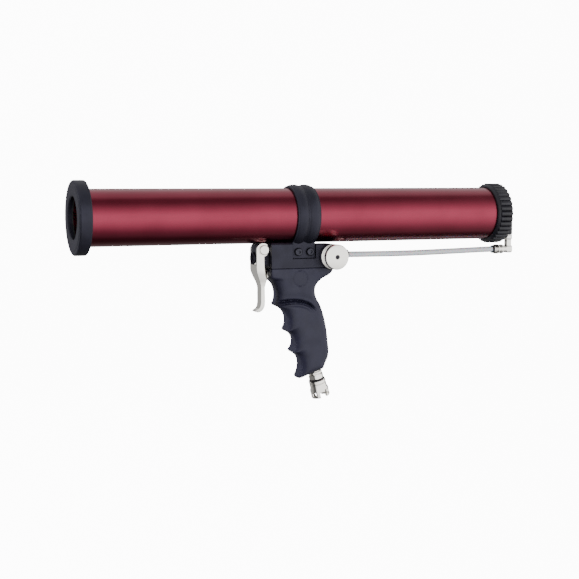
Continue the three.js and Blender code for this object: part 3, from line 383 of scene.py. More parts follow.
def drawn(points, low, high, plane="xz"):
    """A flat outline drawn out: in x and z it goes across the gun, in y and z along it."""
    bm = bmesh.new()
    place = (lambda u, v: (u, low, v)) if plane == "xz" else (lambda u, v: (low, u, v))
    face = bm.faces.new([bm.verts.new(place(u, v)) for u, v in points])
    out = bmesh.ops.extrude_face_region(bm, geom=[face])["geom"]
    shift = (0, high - low, 0) if plane == "xz" else (high - low, 0, 0)
    bmesh.ops.translate(bm, verts=[g for g in out if isinstance(g, bmesh.types.BMVert)], vec=shift)
    return tidy(bm)


def pushed(bm, edges):
    """Doubles a line of edges and skins the gap: returns the new points and the new edges."""
    new = bmesh.ops.extrude_edge_only(bm, edges=edges)["geom"]
    return [[g for g in new if isinstance(g, kind)] for kind in (bmesh.types.BMVert, bmesh.types.BMEdge)]


def block(x, y, z):
    bm = bmesh.new()
    bmesh.ops.create_cube(bm, size=1)
    sizes = [high - low for low, high in (x, y, z)]
    middle = [(high + low) / 2 for low, high in (x, y, z)]
    bmesh.ops.scale(bm, verts=bm.verts, vec=sizes)
    bmesh.ops.translate(bm, verts=bm.verts, vec=middle)
    return bm


def broken(bm, width, angle=30, segments=3, where=None):
    """Rounds the sharp edges of a piece, or those that `where` picks."""
    limit = math.radians(angle)
    edges = [e for e in bm.edges if len(e.link_faces) == 2 and e.calc_face_angle(0) > limit
             and (where is None or where(e))]
    bmesh.ops.bevel(bm, geom=edges, offset=width, offset_type="OFFSET", segments=segments,
                    profile=0.5, affect="EDGES", clamp_overlap=True, material=-1)
    return tidy(bm)


def joined(bm, *tools, operation="UNION"):
    """Joins the tools to a shape one by one, or cuts them out of it."""
    for tool in tools:
        body, other = loose("body", bm), loose("tool", tool)
        change = body.modifiers.new("boolean", "BOOLEAN")
        change.operation, change.solver, change.object = operation, "EXACT", other
        result = body.evaluated_get(bpy.context.evaluated_depsgraph_get())
        bm = bmesh.new()
        bm.from_mesh(result.to_mesh())
        for thing in (body, other):
            mesh = thing.data
            bpy.data.objects.remove(thing)
            bpy.data.meshes.remove(mesh)
        tidy(bm)
    return bm


def cut(bm, *tools):
    return joined(bm, *tools, operation="DIFFERENCE")


made = []


def piece(name, bm, look, body, *nodes, smooth=32, edge=0):
    """Turns a shape in millimetres into a finished piece that rides on a body and stands for nodes."""
    bmesh.ops.transform(bm, verts=bm.verts, matrix=RULER)
    thing = loose(name, bm)
    mesh = thing.data
    mesh.shade_smooth()
    mesh.set_sharp_from_angle(angle=math.radians(smooth))
    mesh.materials.append(finishes[look])
    if edge:
        bevel = thing.modifiers.new("broken edges", "BEVEL")
        bevel.width, bevel.segments, bevel.limit_method = edge * MM, 2, "ANGLE"
        bevel.angle_limit = math.radians(smooth)
    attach(thing, body)
    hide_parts(*nodes)
    made.append(name)
    low, high = [Vector(map(pick, *[v.co for v in mesh.vertices])) for pick in (min, max)]
    print(f"{name}: {len(mesh.polygons)} faces,", [round(c / MM, 1) for c in high - low], "mm")
    return thing


print("shapes ready")

# %% [markdown]
# ## Barrel, front ring and rear cap
#
# The barrel is one length of thin tube, 54 mm across. It could be a solidified cylinder, but a spun wall
# section gives the small chamfers at its ends as well.

# %% Barrel
GAP = 0.3


def reach(node):
    """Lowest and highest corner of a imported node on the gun's own ruler."""
    return [RULER.inverted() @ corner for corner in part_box(node)]


tube_start, tube_end = reach("barrel_tube")
BORE_WALL = 1.6
radius = tube_end.z
piece("barrel", turned([
    (radius - BORE_WALL, tube_start.x + 0.4), (radius - BORE_WALL + 0.4, tube_start.x),
    (radius - 0.4, tube_start.x), (radius, tube_start.x + 0.4),
    (radius, tube_end.x - 0.4), (radius - 0.4, tube_end.x),
    (radius - BORE_WALL + 0.4, tube_end.x), (radius - BORE_WALL, tube_end.x - 0.4),
], steps=144), RED, "gun_frame", "barrel_tube")

# %% [markdown]
# The front ring is turned from bar. It screws over the end of the tube and holds the flange of a plastic
# nozzle behind its lip. Its rim is rounded so it is kind to the hand, and the hole has a small chamfer.

# %% Front ring
ring_start, ring_end = reach("front_ring")
rim = ring_end.z
piece("ring", turned([
    (21, 0), (rim - 4.4, 0), (rim - 4.0, 0.25), *arc(rim - 1.9, 2.1, 1.9, -80, 0, 8),
    *arc(rim - 1.5, ring_end.x - 1.5, 1.5, 0, 90, 8),
    (radius + GAP + 0.6, ring_end.x), (radius + GAP, ring_end.x - 0.6),
    (radius + GAP, 4), (20, 4), (20, 0.9),
], steps=128), BLACK_METAL, "front_ring", "front_ring")

# %% [markdown]
# The rear cap is moulded with 34 ribs that a hand can grip. One rib is a short curved strip. It is
# pushed out along the barrel, pulled in a little at the back, and spun round into the other 33, which
# is quicker and more exact than shaping a whole crown of them. A plain collar sits in front.

# %% Rear cap
RIBS, RIB_DEPTH = 34, 1.9
cap_start, cap_end = reach("rear_cap")
CAP_RADIUS = 31.5
cap_front, cap_rear = 438.7, cap_end.x
root = CAP_RADIUS - RIB_DEPTH


def rib_radius(turn):
    return CAP_RADIUS - RIB_DEPTH * (1 - abs(math.cos(turn * RIBS / 2)) ** 0.6)


bm = bmesh.new()
strip = []
for i in range(13):
    turn = (i / 6 - 1) * math.pi / RIBS
    r = rib_radius(turn)
    strip.append(bm.verts.new((0, r * math.cos(turn), r * math.sin(turn))))
rib = [bm.edges.new(pair) for pair in zip(strip, strip[1:])]
for x, scale in ((cap_front + 2.6, 0.97), (cap_front + 3.4, 1.0), (cap_rear - 1.6, 1.0),
                 (cap_rear - 0.5, 0.985), (cap_rear, 0.955)):
    if x > cap_front + 2.6:
        strip, rib = pushed(bm, rib)
    for vert in strip:
        base = Vector((vert.co.y, vert.co.z)).normalized()
        r = rib_radius(math.atan2(vert.co.z, vert.co.y)) * scale
        vert.co = (x, r * base.x, r * base.y)
bmesh.ops.spin(bm, geom=bm.verts[:] + bm.edges[:] + bm.faces[:], cent=(0, 0, 0), axis=(1, 0, 0),
               angle=2 * math.pi * (RIBS - 1) / RIBS, steps=RIBS - 1, use_duplicate=True)
bmesh.ops.remove_doubles(bm, verts=bm.verts, dist=0.01)
bmesh.ops.edgeloop_fill(bm, edges=[e for e in bm.edges if e.is_boundary])
tidy(bm)
floor_x, lip = cap_rear - 4, tube_end.x
INNER, SEAL_GROOVE = 25.1, 22.8
collar = turned([(0, cap_front), (root - 1.2, cap_front), (root - 0.6, cap_front + 0.4),
                 (root + 0.9, cap_front + 2.4), (root + 0.6, cap_front + 3), (root - 1, cap_front + 3.6),
                 (0, cap_front + 3.6)], steps=102)
bore = turned([(0, 430), (radius + GAP, 430), (radius + GAP, floor_x), (INNER, floor_x), (INNER, lip - 6),
               (SEAL_GROOVE, lip - 6), (SEAL_GROOVE, lip - 3.4), (INNER, lip - 3.4), (INNER, lip - 9),
               (21.5, lip - 9), (21.5, floor_x), (4.3, floor_x), (4.3, 460), (0, 460)], steps=96)
dish = turned([(9.5, cap_rear - 0.9), (root - 3.4, cap_rear - 0.9), (root - 2.6, cap_rear + 1),
               (9.5, cap_rear + 1)], steps=96)
piece("cap", cut(joined(bm, collar), bore, dish), ACETAL, "rear_cap", "rear_cap", smooth=38)

# %% [markdown]
# Inside, the piston is an acetal cup with two rubber rings. It shows down the bore when the nozzle is
# off, so it is turned smooth as well.

# %% Piston
piston_start, piston_end = reach("piston")
pr, px = piston_end.z, piston_start.x
outline = [(0, 1.5), (5, 1.5), (pr - 6, 0.2), *arc(pr - 1.6, 1.6, 1.6, -90, 0, 5)]
for middle in (5.3, 20.3):
    outline += [(pr, middle - 1.3), (pr - 2.3, middle - 1.3), (pr - 2.3, middle + 1.3), (pr, middle + 1.3)]
outline += [(pr, 26), (pr - 5, 26), (pr - 5, 6), (0, 6)]
piece("piston_cup", turned([(r, px + x) for r, x in outline], steps=96), NATURAL, "piston", "piston")

# %% [markdown]
# ## Strap and its screws
#
# The strap is a casting that wraps the barrel: two rounded ridges with a groove between them, and two
# flat tabs that sit in recesses on the sides of the valve block. Two cap screws pull the tabs together.
# The band is spun, and the tabs are milled blocks joined to it, with the barrel's room cut out last.

# %% Strap
STRAP, STRAP_REAR = 213.4, 237.6
STRAP_WIDTH = STRAP_REAR - STRAP
strap_inner = radius + GAP
low = strap_inner + 1.8
ridges = [(low + 1.5 * math.sin(math.pi * i / 14) ** 0.7, STRAP + STRAP_WIDTH * (start + 0.42 * i / 14))
          for start in (0.05, 0.53) for i in range(15)]
band = turned([(strap_inner - 0.5, STRAP), (low - 0.3, STRAP), (low, STRAP + 0.3), *ridges,
               (low, STRAP_REAR - 0.3), (low - 0.3, STRAP_REAR), (strap_inner - 0.5, STRAP_REAR)], steps=128)
tabs = [broken(block((STRAP, STRAP_REAR), y, (-42, -21.3)), 0.7) for y in ((-13.8, -11.6), (11.6, 13.8))]
room = [block((STRAP - 1, STRAP_REAR + 1), (-11.6, 11.6), (-43, -21.8)),
        rod("x", strap_inner, STRAP - 1, STRAP_REAR + 1, steps=128)]
SCREWS = (219.2, 231.8)
SCREW_Z = -35.4
holes = [rod("y", 2.7, -20, 20, (x, 0, SCREW_Z), 24) for x in SCREWS]
piece("strap", cut(joined(band, *tabs), *room, *holes), BLACK_METAL, "gun_frame", "clamp_strap")

# %% [markdown]
# Each cap screw has a low round head with a hexagon socket, and a nut on the far side. A nut is a
# hexagonal bar whose corners are turned off, so it is the overlap of a six-sided spin and a lens.

# %% Strap screws and nuts
for place, x in zip(("front", "rear"), SCREWS):
    seat, tip = -14.1, 18.9
    head = seat - 2.5
    screw = turned([(0, head), (2.7, head), *arc(2.9, head + 1.1, 1.1, -90, 0, 5), (4, seat), (2.4, seat),
                    (2.4, tip - 0.5), (1.9, tip), (0, tip)], "y", (x, 0, SCREW_Z), 48)
    socket = turned([(0, head - 1), (1.9, head - 1), (1.9, head + 1.6), (0, head + 1.9)], "y",
                    (x, 0, SCREW_Z), 6)
    piece(f"strap_screw_{place}", cut(screw, socket), OXIDE, "gun_frame", f"clamp_screw_{place}")
    near, far = 14.1, 17.6
    hexagon = rod("y", 4.6, near, far, (x, 0, SCREW_Z), 6)
    lens = turned([(0, near), (4.0, near), (4.6, near + 0.5), (4.6, far - 0.5), (4.0, far), (0, far)], "y",
                  (x, 0, SCREW_Z), 48)
    thread = rod("y", 2.7, near - 1, far + 1, (x, 0, SCREW_Z), 32)
    nut = cut(joined(hexagon, lens, operation="INTERSECT"), thread)
    piece(f"strap_nut_{place}", nut, OXIDE, "gun_frame", f"clamp_nut_{place}")

# %% [markdown]
# ## Valve block
#
# The block joins the grip to the barrel. It is milled from one bar: a body with a saddle for the barrel,
# a narrow tongue in front that carries the trigger's pin, and a round housing across the back for the
# pressure regulator. Each is a simple solid with its edges broken, and the bores are cut afterwards.

# %% Valve block
BLOCK, BLOCK_REAR, SEAM = 191, 247, -51.3
PIVOT, KNOB_AXIS = (184.2, 0, -32.9), (254.5, 0, -40.5)
section = [(-15, SEAM + 0.15), (15, SEAM + 0.15), (15, -28), (13, -26), (-13, -26), (-15, -28)]
body = broken(drawn(section, BLOCK, BLOCK_REAR, "yz"), 0.6,
              where=lambda e: all(v.co.z > SEAM + 1 for v in e.verts))
tongue = broken(drawn([(BLOCK + 4, -27.8), (178, -27.8), (178, -45.6), (184.2, -46.6), (BLOCK + 4, -50.4)],
                      -6.9, 6.9), 0.8, where=lambda e: all(v.co.x < BLOCK for v in e.verts))
housing = turned([(0, -17.5), (12, -17.5), (13, -16.5), (13, 12.6), (12.4, 13.2), (11.6, 13.4), (11.3, 14),
                  (0, 14)], "y", KNOB_AXIS, 72)
solid = joined(body, tongue, housing)
cuts = [rod("y", 2.7, -20, 20, (x, 0, SCREW_Z), 24) for x in SCREWS]
cuts += [rod("y", 2.8, -20, 20, PIVOT), rod("x", 4.9, 177, 186.1, (0, 0, -41.3), 40)]
cuts += [block((STRAP - GAP, STRAP_REAR + GAP), y, (-42.3, 0)) for y in ((-16, -11.3), (11.3, 16))]
cuts += [rod("x", radius + GAP, 170, 290, steps=128), block((STRAP_REAR + 0.1, 290), (-20, 20), (-28.6, 0))]
cuts += [turned([(0, -19), (10.3, -19), (10.3, -5), (7, -5), (7, 0), (2.2, 0), (2.2, 1.7), (5.5, 1.7),
                 (5.5, 9), (0, 9)], "y", KNOB_AXIS, 64)]
cuts += [rod("x", 4.3, 262.9, 270, (0, 0, -40), 32)]
cuts += [turned([(8, 13.2), (9.2, 13.2), (9.2, 15), (8, 15)], "y", KNOB_AXIS, 48)]
piece("block", cut(solid, *cuts), BLACK_METAL, "gun_frame", "valve_block", smooth=28, edge=0.25)

# %% [markdown]
# The exhaust port is a black ring on the nose of the tongue, with a sintered brass disc deep inside that
# quietens the air. The ring is turned, and the disc is left as packed.

# %% Exhaust port
EXHAUST = (175.8, 0, -41.3)
piece("exhaust_ring", turned([
    (4.9, 0.3), (5.2, 0), (5.7, 0), (6.2, 0.5), (6.2, 1.9), (4.6, 1.9), (4.6, 10), (3.2, 10), (3.2, 1.5),
    (4.9, 1.5),
], "x", EXHAUST, 56), BLACK_METAL, "gun_frame", "exhaust_port")

# %% [markdown]
# ## Grip
#
# The grip is the one piece shaped for a hand. It could be modelled with a subdivision cage, but the
# finger grooves are easiest to hold exactly in a side view. The outline is drawn out across the gun, and
# a voxel remesh turns it into an even skin. Points near the outline are then pulled in towards the middle
# as far as a round edge would put them. The edge is round by 12 mm under each finger, by 4 mm at the
# ridges between the fingers, and by 6.5 mm behind. The skin is evened and relaxed, and the ledge that
# runs back from the first finger is pushed out of it, as a sculptor would with a crease brush.

# %% Side view of the grip
def curve_through(points, steps=8):
    """A smooth line through points: Blender's own poly-Bezier with automatic handles."""
    curve = bpy.data.curves.new("line", "CURVE")
    curve.dimensions, curve.resolution_u = "3D", steps
    spline = curve.splines.new("BEZIER")
    spline.bezier_points.add(len(points) - 1)
    for knot, (x, z) in zip(spline.bezier_points, points):
        knot.co = (x, 0, z)
        knot.handle_left_type = knot.handle_right_type = "AUTO"
    thing = placed("line", curve)
    mesh = thing.to_mesh()
    line = [(v.co.x, v.co.z) for v in mesh.vertices]
    thing.to_mesh_clear()
    bpy.data.objects.remove(thing)
    bpy.data.curves.remove(curve)
    return line


def scallop(start, end, depth, steps=14):
    """A finger groove between two ridge tips, as points of the arc that is `depth` deep."""
    a, b = Vector(start), Vector(end)
    chord = (b - a).length
    radius = (chord ** 2 / 4 + depth ** 2) / (2 * depth)
    along = (b - a).normalized()
    inward = Vector((-along.y, along.x))
    centre = (a + b) / 2 - inward * (radius - depth)
    half = math.asin(chord / 2 / radius)
    return [tuple(centre + radius * (inward * math.cos(t) + along * math.sin(t)))
            for t in [half * (2 * i / steps - 1) for i in range(steps + 1)]]


TOP = SEAM - 0.15
FINGERS = [((192.4, -61.8), (199.4, -86.4), 4.2), ((200.2, -89.0), (210.6, -112.6), 5.6),
           ((211.2, -114.6), (217.3, -134.0), 5.0), ((217.9, -136.0), (222.4, -159.3), 6.0)]
front_line, front_rounding = [(191.3, TOP), (191.3, -60.3)], [1.0, 5.0]
for start, end, depth in FINGERS:
    groove = scallop(start, end, depth)
    shares = [i / (len(groove) - 1) for i in range(len(groove))]
    front_line += groove
    front_rounding += [4.2 + 8.0 * min(1, share / 0.22) * (1 - share) ** 0.55 for share in shares]
front_line[-1] = (222.0, -160.3)
front_line += [(222.6, -162.0), (224.2, -162.9), (226.4, -162.3)]
front_rounding[-6:] = [9.0, 9.6, 10.2, 10.8, 11.4, 12.0]
front_rounding += [12.0, 12.0, 11.0]
rear_line = curve_through([(257.6, TOP), (255.6, -57), (246.5, -63.5), (240.4, -70.5), (240.4, -79),
                           (246, -90), (251, -105.5), (253.9, -125), (254.3, -140), (250.9, -148.0),
                           (248.6, -152.9)])
outline = front_line + rear_line[::-1]
print("grip outline:", len(outline), "points")

# %% Body of the grip
TILT = math.radians(15)
INLET = Matrix.Translation((243.2, 0, -156.8)) @ Matrix.Rotation(-TILT, 4, "Y")
HALF, COARSE, FINE = 14.4, 0.7, 0.6


def skinned(bm, voxel):
    """The same solid with an even skin of small squares."""
    core = loose("grip core", bm)
    remesh = core.modifiers.new("even skin", "REMESH")
    remesh.mode, remesh.voxel_size = "VOXEL", voxel
    skin = core.evaluated_get(bpy.context.evaluated_depsgraph_get())
    bm = bmesh.new()
    bm.from_mesh(skin.to_mesh())
    bpy.data.objects.remove(core)
    return bm


def relaxed(bm, factor):
    """Evens the skin, all but its flat top."""
    bmesh.ops.smooth_vert(bm, verts=[v for v in bm.verts if v.co.z < TOP - 1.5], factor=factor,
                          use_axis_x=True, use_axis_y=True, use_axis_z=True)


edge_line = [(*point, rounding) for point, rounding in zip(front_line, front_rounding)]
edge_line += [(*rear_line[-1], 5.0), *[(*point, 6.5) for point in rear_line[-2::-1]]]
samples = []
for here, there in zip(edge_line, edge_line[1:]):
    count = max(1, int(math.dist(here[:2], there[:2]) / 0.3))
    samples += [tuple(Vector(here).lerp(Vector(there), i / count)) for i in range(count)]
nearest = KDTree(len(samples))
for i, (x, z, _) in enumerate(samples):
    nearest.insert((x, 0, z), i)
nearest.balance()
bm = skinned(drawn(outline, -HALF, HALF), COARSE)
for vert in bm.verts:
    depth = max(0.0, min(1.0, (SEAM - vert.co.z) / 106))
    half = HALF * (1 - 0.10 * math.sin(math.pi * min(1, depth * 1.05)))
    _, i, gap = nearest.find((vert.co.x, 0, vert.co.z))
    rounding = samples[i][2] * max(0.06, min(1.0, (-54 - vert.co.z) / 9))
    short = max(0.0, rounding - gap)
    most = half - rounding + math.sqrt(rounding ** 2 - short ** 2)
    vert.co.y = max(-most, min(most, vert.co.y))
bm = skinned(bm, FINE)
for _ in range(5):
    relaxed(bm, 0.5)
print("grip skin:", len(bm.faces), "faces")

# %% [markdown]
# The ledge starts as the spur under the first finger, runs back along the side and fades out behind the
# palm. Above it the side is hollow, so the finger sits against it. Each point near the ledge's line is
# moved sideways by how far it is from the line. The plain ring on the upper side is pressed in the
# same way.

# %% Ledge and ring on the grip's sides
ledge = curve_through([(198.6, -87.2), (206, -86.2), (216, -85.6), (226, -87.0), (233, -90.0),
                       (238.5, -95.5)], 10)
RING_MARK, RING_MARK_RADIUS = Vector((221.5, -61.8)), 7.6
for vert in bm.verts:
    side = 1 if vert.co.y > 0 else -1
    if abs(vert.co.y) < 5 or vert.co.z > TOP - 1:
        continue
    here = Vector((vert.co.x, vert.co.z))
    distance, share, above = 99.0, 0.0, 1
    for i, (a, b) in enumerate(zip(ledge, ledge[1:])):
        a, b = Vector(a), Vector(b)
        t = max(0.0, min(1.0, (here - a).dot(b - a) / (b - a).length_squared))
        gap = here - (a + (b - a) * t)
        if gap.length < distance:
            distance, share = gap.length, (i + t) / (len(ledge) - 1)
            above = 1 if (b - a).cross(gap) > 0 else -1
    fade = min(1.0, share / 0.12) * (1 - max(0.0, share - 0.8) / 0.2)
    flat = min(1.0, (abs(vert.co.y) - 5) / 5)
    width = 1.15 - 0.45 * share
    if above > 0:
        shift = -4.6 * math.exp(-((distance - 2.0 * width) / (1.3 * width)) ** 2)
        shift -= 0.8 * math.exp(-((distance - 5) / 4) ** 2)
    else:
        shift = -1.6 * math.exp(-((distance - 2.2) / 1.8) ** 2)
    vert.co.y += side * flat * fade * (0.8 * math.exp(-(distance / 0.9) ** 2) + shift)
    press = abs((here - RING_MARK).length - RING_MARK_RADIUS)
    vert.co.y -= side * 0.6 * math.exp(-(press / 0.5) ** 2)
WIDEST = 14.9
for vert in bm.verts:
    vert.co.y = max(-WIDEST, min(WIDEST, vert.co.y))
relaxed(bm, 0.3)
foot = turned([(0, -30), (12, -30), (12, 0), (5.2, 0), (5.2, 12.3), (4, 12.3), (4, 60), (0, 60)], "z",
              steps=48)
bmesh.ops.transform(foot, verts=foot.verts, matrix=INLET)
bores = [rod("x", 5.6, 180, 228.5, (0, 0, -57.3), 40), rod("y", 13.3, -20, 20, KNOB_AXIS, 72), foot]
piece("grip_moulding", cut(bm, *bores), GRIP, "gun_frame", "grip", smooth=45)

# %% [markdown]
# ## Trigger
#
# The trigger is a zinc casting. It has two cheeks round the tongue, a web in front of the valve, and a
# narrow lever with a hooked tip. The side view and the front view are both drawn out, and the casting is
# their overlap. The room between the cheeks is cut the same way. Its edges are rounded as a casting's are.

# %% Trigger
PX, _, PZ = PIVOT
side = [(x + PX, z + PZ) for x, z in arc(0, 0, 6.7, -80, 180, 20) + [
    (-6.7, -13.0), (-6.7, -19.0), (-6.2, -22.1), (-4.7, -26.4), (-2.5, -31.3), (-1.3, -34.8), (-0.8, -38),
    (-0.8, -52), (-1.4, -55.5), (-2.8, -58), (-5.9, -59.6), (-6.3, -60.2), (-6, -60.9), (-4.2, -61.6),
    (-1.6, -61.2), (0.2, -60.2), (1.6, -58.6), (3.0, -55.6), (3.4, -51), (3.1, -37), (4.0, -33), (4.6, -30.4),
    (4.1, -28.2), (2.6, -24.5), (1.6, -19), (1.3, -14)]]
room_side = [(x + PX, z + PZ) for x, z in [(-12, -14.8), (-12, 12), (12, 12), (12, -33.5), (0.6, -33.5),
                                           (-1.6, -27.2), (-3.2, -22.6), (-3.7, -19.2), (-3.7, -14.8)]]


def mirrored(half):
    """A front view from its right half: (half width, height under the pivot)."""
    return [(w, z + PZ) for w, z in half] + [(-w, z + PZ) for w, z in half[::-1]]


outer = drawn(mirrored([(4.6, -63), (5.6, -57), (5.8, -52), (5.8, -37), (6.6, -32), (9.0, -23.5), (9.6, -20),
                        (9.6, 12)]), 165, 200, "yz")
inner = drawn(mirrored([(4.3, -34.5), (5.0, -33), (7.2, -22), (7.2, 13)]), 160, 205, "yz")
casting = joined(drawn(side, -11, 11), outer, operation="INTERSECT")
void = joined(drawn(room_side, -11, 11), inner, operation="INTERSECT")
casting = broken(casting, 1.1, 25, 4)
piece("trigger_casting", cut(casting, void, rod("y", 2.8, -20, 20, PIVOT, 40)), NICKEL, "trigger", "trigger",
      smooth=35, edge=0.2)

# %% [markdown]
# The pin is turned with a domed head on the near side, and a spring clip snaps into a groove at its far
# end. The valve's bushing and plunger are turned too.

# %% Trigger pin, bushing and plunger
seat, clip = -9.9, 10.2
piece("pin", turned([
    (0, seat - 3.7), (3.6, seat - 3.7), *arc(3.75, seat - 2.6, 1.1, -80, 0, 6), (4.85, seat), (2.5, seat),
    (2.5, clip - 0.3), (1.9, clip - 0.3), (1.9, clip + 1.0), (2.5, clip + 1.0), (2.5, clip + 1.6),
    (2.1, clip + 2.0), (0, clip + 2.0),
], "y", PIVOT, 48), NICKEL, "gun_frame", "trigger_pin")
VALVE = (0, 0, -57.3)
piece("bushing", cut(turned([
    (3.3, 188.9), (3.9, 188.9), (4.3, 189.2), (4.7, 188.9), (5.6, 188.9), (6.2, 189.5), (6.2, 190.7),
    (5.3, 190.7), (5.3, 206), (4.3, 206), (4.3, 196.1), (3.3, 196.1),
], "x", VALVE, 56), rod("z", 1.5, -10, 10, (203, 0, -57.3), 20)), NICKEL, "gun_frame", "valve_bushing")
piece("plunger", turned([
    (0, 182.2), (1.0, 182.3), (1.9, 182.7), (2.6, 183.4), (3, 184.6), (3, 196.4), (4, 196.4), (4, 198),
    (1.6, 198), (1.6, 203.6), (1.2, 204), (0, 204),
], "x", VALVE, 40), NICKEL, "plunger", "valve_plunger")

# %% [markdown]
# ## Regulator knob
#
# The knob is a plated cap, turned from bar, with a small hole through its face and two shallow bands
# round its skirt, one of them cut with fine grooves for the fingertips.

# %% Regulator knob
KNOB, KNOB_FACE, KNOB_BACK = 12.5, -30.0, -17.8
skirt = [(KNOB, KNOB_FACE + 1.2), (KNOB, KNOB_FACE + 4.2), (KNOB - 0.6, KNOB_FACE + 4.6),
         (KNOB - 0.6, KNOB_FACE + 5.2)]
for i in range(7):
    start = KNOB_FACE + 5.4 + 0.62 * i
    skirt += [(KNOB - 0.15, start), (KNOB - 0.15, start + 0.28), (KNOB - 0.5, start + 0.45)]
skirt += [(KNOB - 0.6, KNOB_BACK - 2.2), (KNOB, KNOB_BACK - 1.9), (KNOB, KNOB_BACK - 0.4),
          (KNOB - 0.4, KNOB_BACK)]
piece("knob", turned([
    (2.1, KNOB_FACE + 0.3), (2.4, KNOB_FACE), (KNOB - 1.3, KNOB_FACE), (KNOB - 0.5, KNOB_FACE + 0.35), *skirt,
    (10.3, KNOB_BACK), (10.3, KNOB_FACE + 4), (2.1, KNOB_FACE + 4),
], "y", KNOB_AXIS, 96), NICKEL, "regulator_knob", "regulator_knob", smooth=25)

# %% [markdown]
# ## Air line
#
# A clear grey tube takes air from the regulator to the cap at the back. It pushes into two fittings, and
# a collet in the mouth of each grips it. The tube is held at both ends and sags a few tenths of a
# millimetre on the way, so it is a round skin along one smooth line, not a straight rod.

# %% Air tube and fittings
FITTING, FITTING_END = 267.8, 277.0
OUTLET, LEG_Z = -40.0, -38.5
piece("outlet", joined(turned([
    (1.8, FITTING - 4.4), (4, FITTING - 4.4), (4, FITTING), (5, FITTING), (5, FITTING + 3.8),
    (4.6, FITTING + 4.3), (4.6, FITTING + 4.8), (5.2, FITTING + 5.3), (5.2, FITTING_END - 0.5),
    (4.8, FITTING_END), (4.2, FITTING_END), (4.2, FITTING_END - 2.6), (3.3, FITTING_END - 2.6),
    (3.3, FITTING + 0.8), (1.8, FITTING + 0.8),
], "x", (0, 0, OUTLET), 56), turned([(4.9, FITTING), (5.6, FITTING), (6, FITTING + 0.4), (6, FITTING + 2.8),
                                     (5.6, FITTING + 3.2), (4.9, FITTING + 3.2)], "x", (0, 0, OUTLET), 6)),
      NICKEL, "gun_frame", "outlet_fitting")


def collet(name, mouth, way, flange, height, body, node):
    outline = [(3.3, -1.5), (3.8, -1.5), (3.8, 1.0), (flange - 0.3, 1.0), (flange, 1.3), (flange, 1.8),
               (flange - 0.3, 2.1), (3.5, 2.1), (3.3, 1.9)]
    shape = turned([(r, mouth + way * d) for r, d in outline], "x", (0, 0, height), 48)
    piece(name, shape, RUBBER, body, node)


collet("outlet_collar", FITTING_END, 1, 5, OUTLET, "outlet_collet", "outlet_collet")
collet("elbow_collar", 451.5, -1, 4.1, LEG_Z, "elbow_collet", "elbow_collet")
TUBE_START, TUBE_END = 269.0, 462.4
SAG = [(0, 0), (0.06, 0.1), (0.16, 0.45), (0.39, 1), (0.68, 0.5), (0.88, -0.05), (0.94, -0.09), (1, 0)]
route = curve_through([(TUBE_START + (TUBE_END - TUBE_START) * share,
                        OUTLET + (LEG_Z - OUTLET) * share - drop) for share, drop in SAG], 6)
bm = bmesh.new()
loop = bmesh.ops.create_circle(bm, cap_ends=False, segments=40, radius=3)["verts"]
bmesh.ops.rotate(bm, verts=loop, matrix=Matrix.Rotation(math.pi / 2, 3, "Y"))
bmesh.ops.translate(bm, verts=loop, vec=(route[0][0], 0, route[0][1]))
ring = bm.edges[:]
for (x0, z0), (x1, z1) in zip(route, route[1:]):
    verts, ring = pushed(bm, ring)
    bmesh.ops.translate(bm, verts=verts, vec=(x1 - x0, 0, z1 - z0))
bmesh.ops.recalc_face_normals(bm, faces=bm.faces)
bmesh.ops.solidify(bm, geom=bm.faces[:], thickness=1.0)
tidy(bm)
lengths = [math.dist(a, b) for a, b in zip(route, route[1:])]
print("air tube:", round(sum(lengths), 1), "mm long")
piece("air_line", bm, TUBE, "gun_frame", "air_tube")

# %% [markdown]
# The elbow is turned in two legs that meet in a rounded block. The lower leg has a ribbed nut and a
# swelling behind its collet, and the upright leg has a wider ring where it enters the air arm.

# %% Elbow
E, ELBOW_TOP, LEG_X = 451.5, -23.3, 469.7
leg = turned([
    (0, E), (4.4, E), (4.4, E + 1), (4.8, E + 1.3), (5.0, E + 2), (4.5, E + 2.4), (5.0, E + 2.8),
    (4.5, E + 3.3), (5.0, E + 3.8), (4.5, E + 4.3), (5.0, E + 4.8), (4.8, E + 5.8), (3.7, E + 6.3),
    (3.7, E + 7.4), (4.4, E + 7.9), (4.95, E + 9.3), (4.7, E + 11.0), (3.8, E + 12.2), (3.8, LEG_X),
    (0, LEG_X),
], "x", (0, 0, LEG_Z), 56)
upright = turned([
    (0, LEG_Z), (3.7, LEG_Z), (3.7, ELBOW_TOP - 5.2), (4.3, ELBOW_TOP - 4.7), (4.6, ELBOW_TOP - 4.0),
    (4.6, ELBOW_TOP - 0.8), (4.3, ELBOW_TOP - 0.3), (2.6, ELBOW_TOP - 0.3), (2.6, ELBOW_TOP + 5),
    (0, ELBOW_TOP + 5),
], "z", (LEG_X, 0, 0), 56)
corner = broken(block((LEG_X - 3.9, LEG_X + 4.1), (-4.1, 4.1), (LEG_Z - 4.1, LEG_Z + 3.9)), 2.0, segments=5)
bores = [rod("x", 4.0, E - 1, E + 2.6, (0, 0, LEG_Z), 32), rod("x", 3.3, E, E + 11.4, (0, 0, LEG_Z), 32),
         rod("x", 1.8, E, LEG_X, (0, 0, LEG_Z), 24), rod("z", 1.6, LEG_Z, ELBOW_TOP + 6, (LEG_X, 0, 0), 24)]
piece("elbow", cut(joined(leg, upright, corner), *bores), NICKEL, "gun_frame", "rear_elbow")

# %% [markdown]
# The air arm is a black moulding: a hub on the middle of the cap and a short pipe down to the elbow. A
# hollow bolt with a hexagon head holds the hub and lets the cap turn behind it.

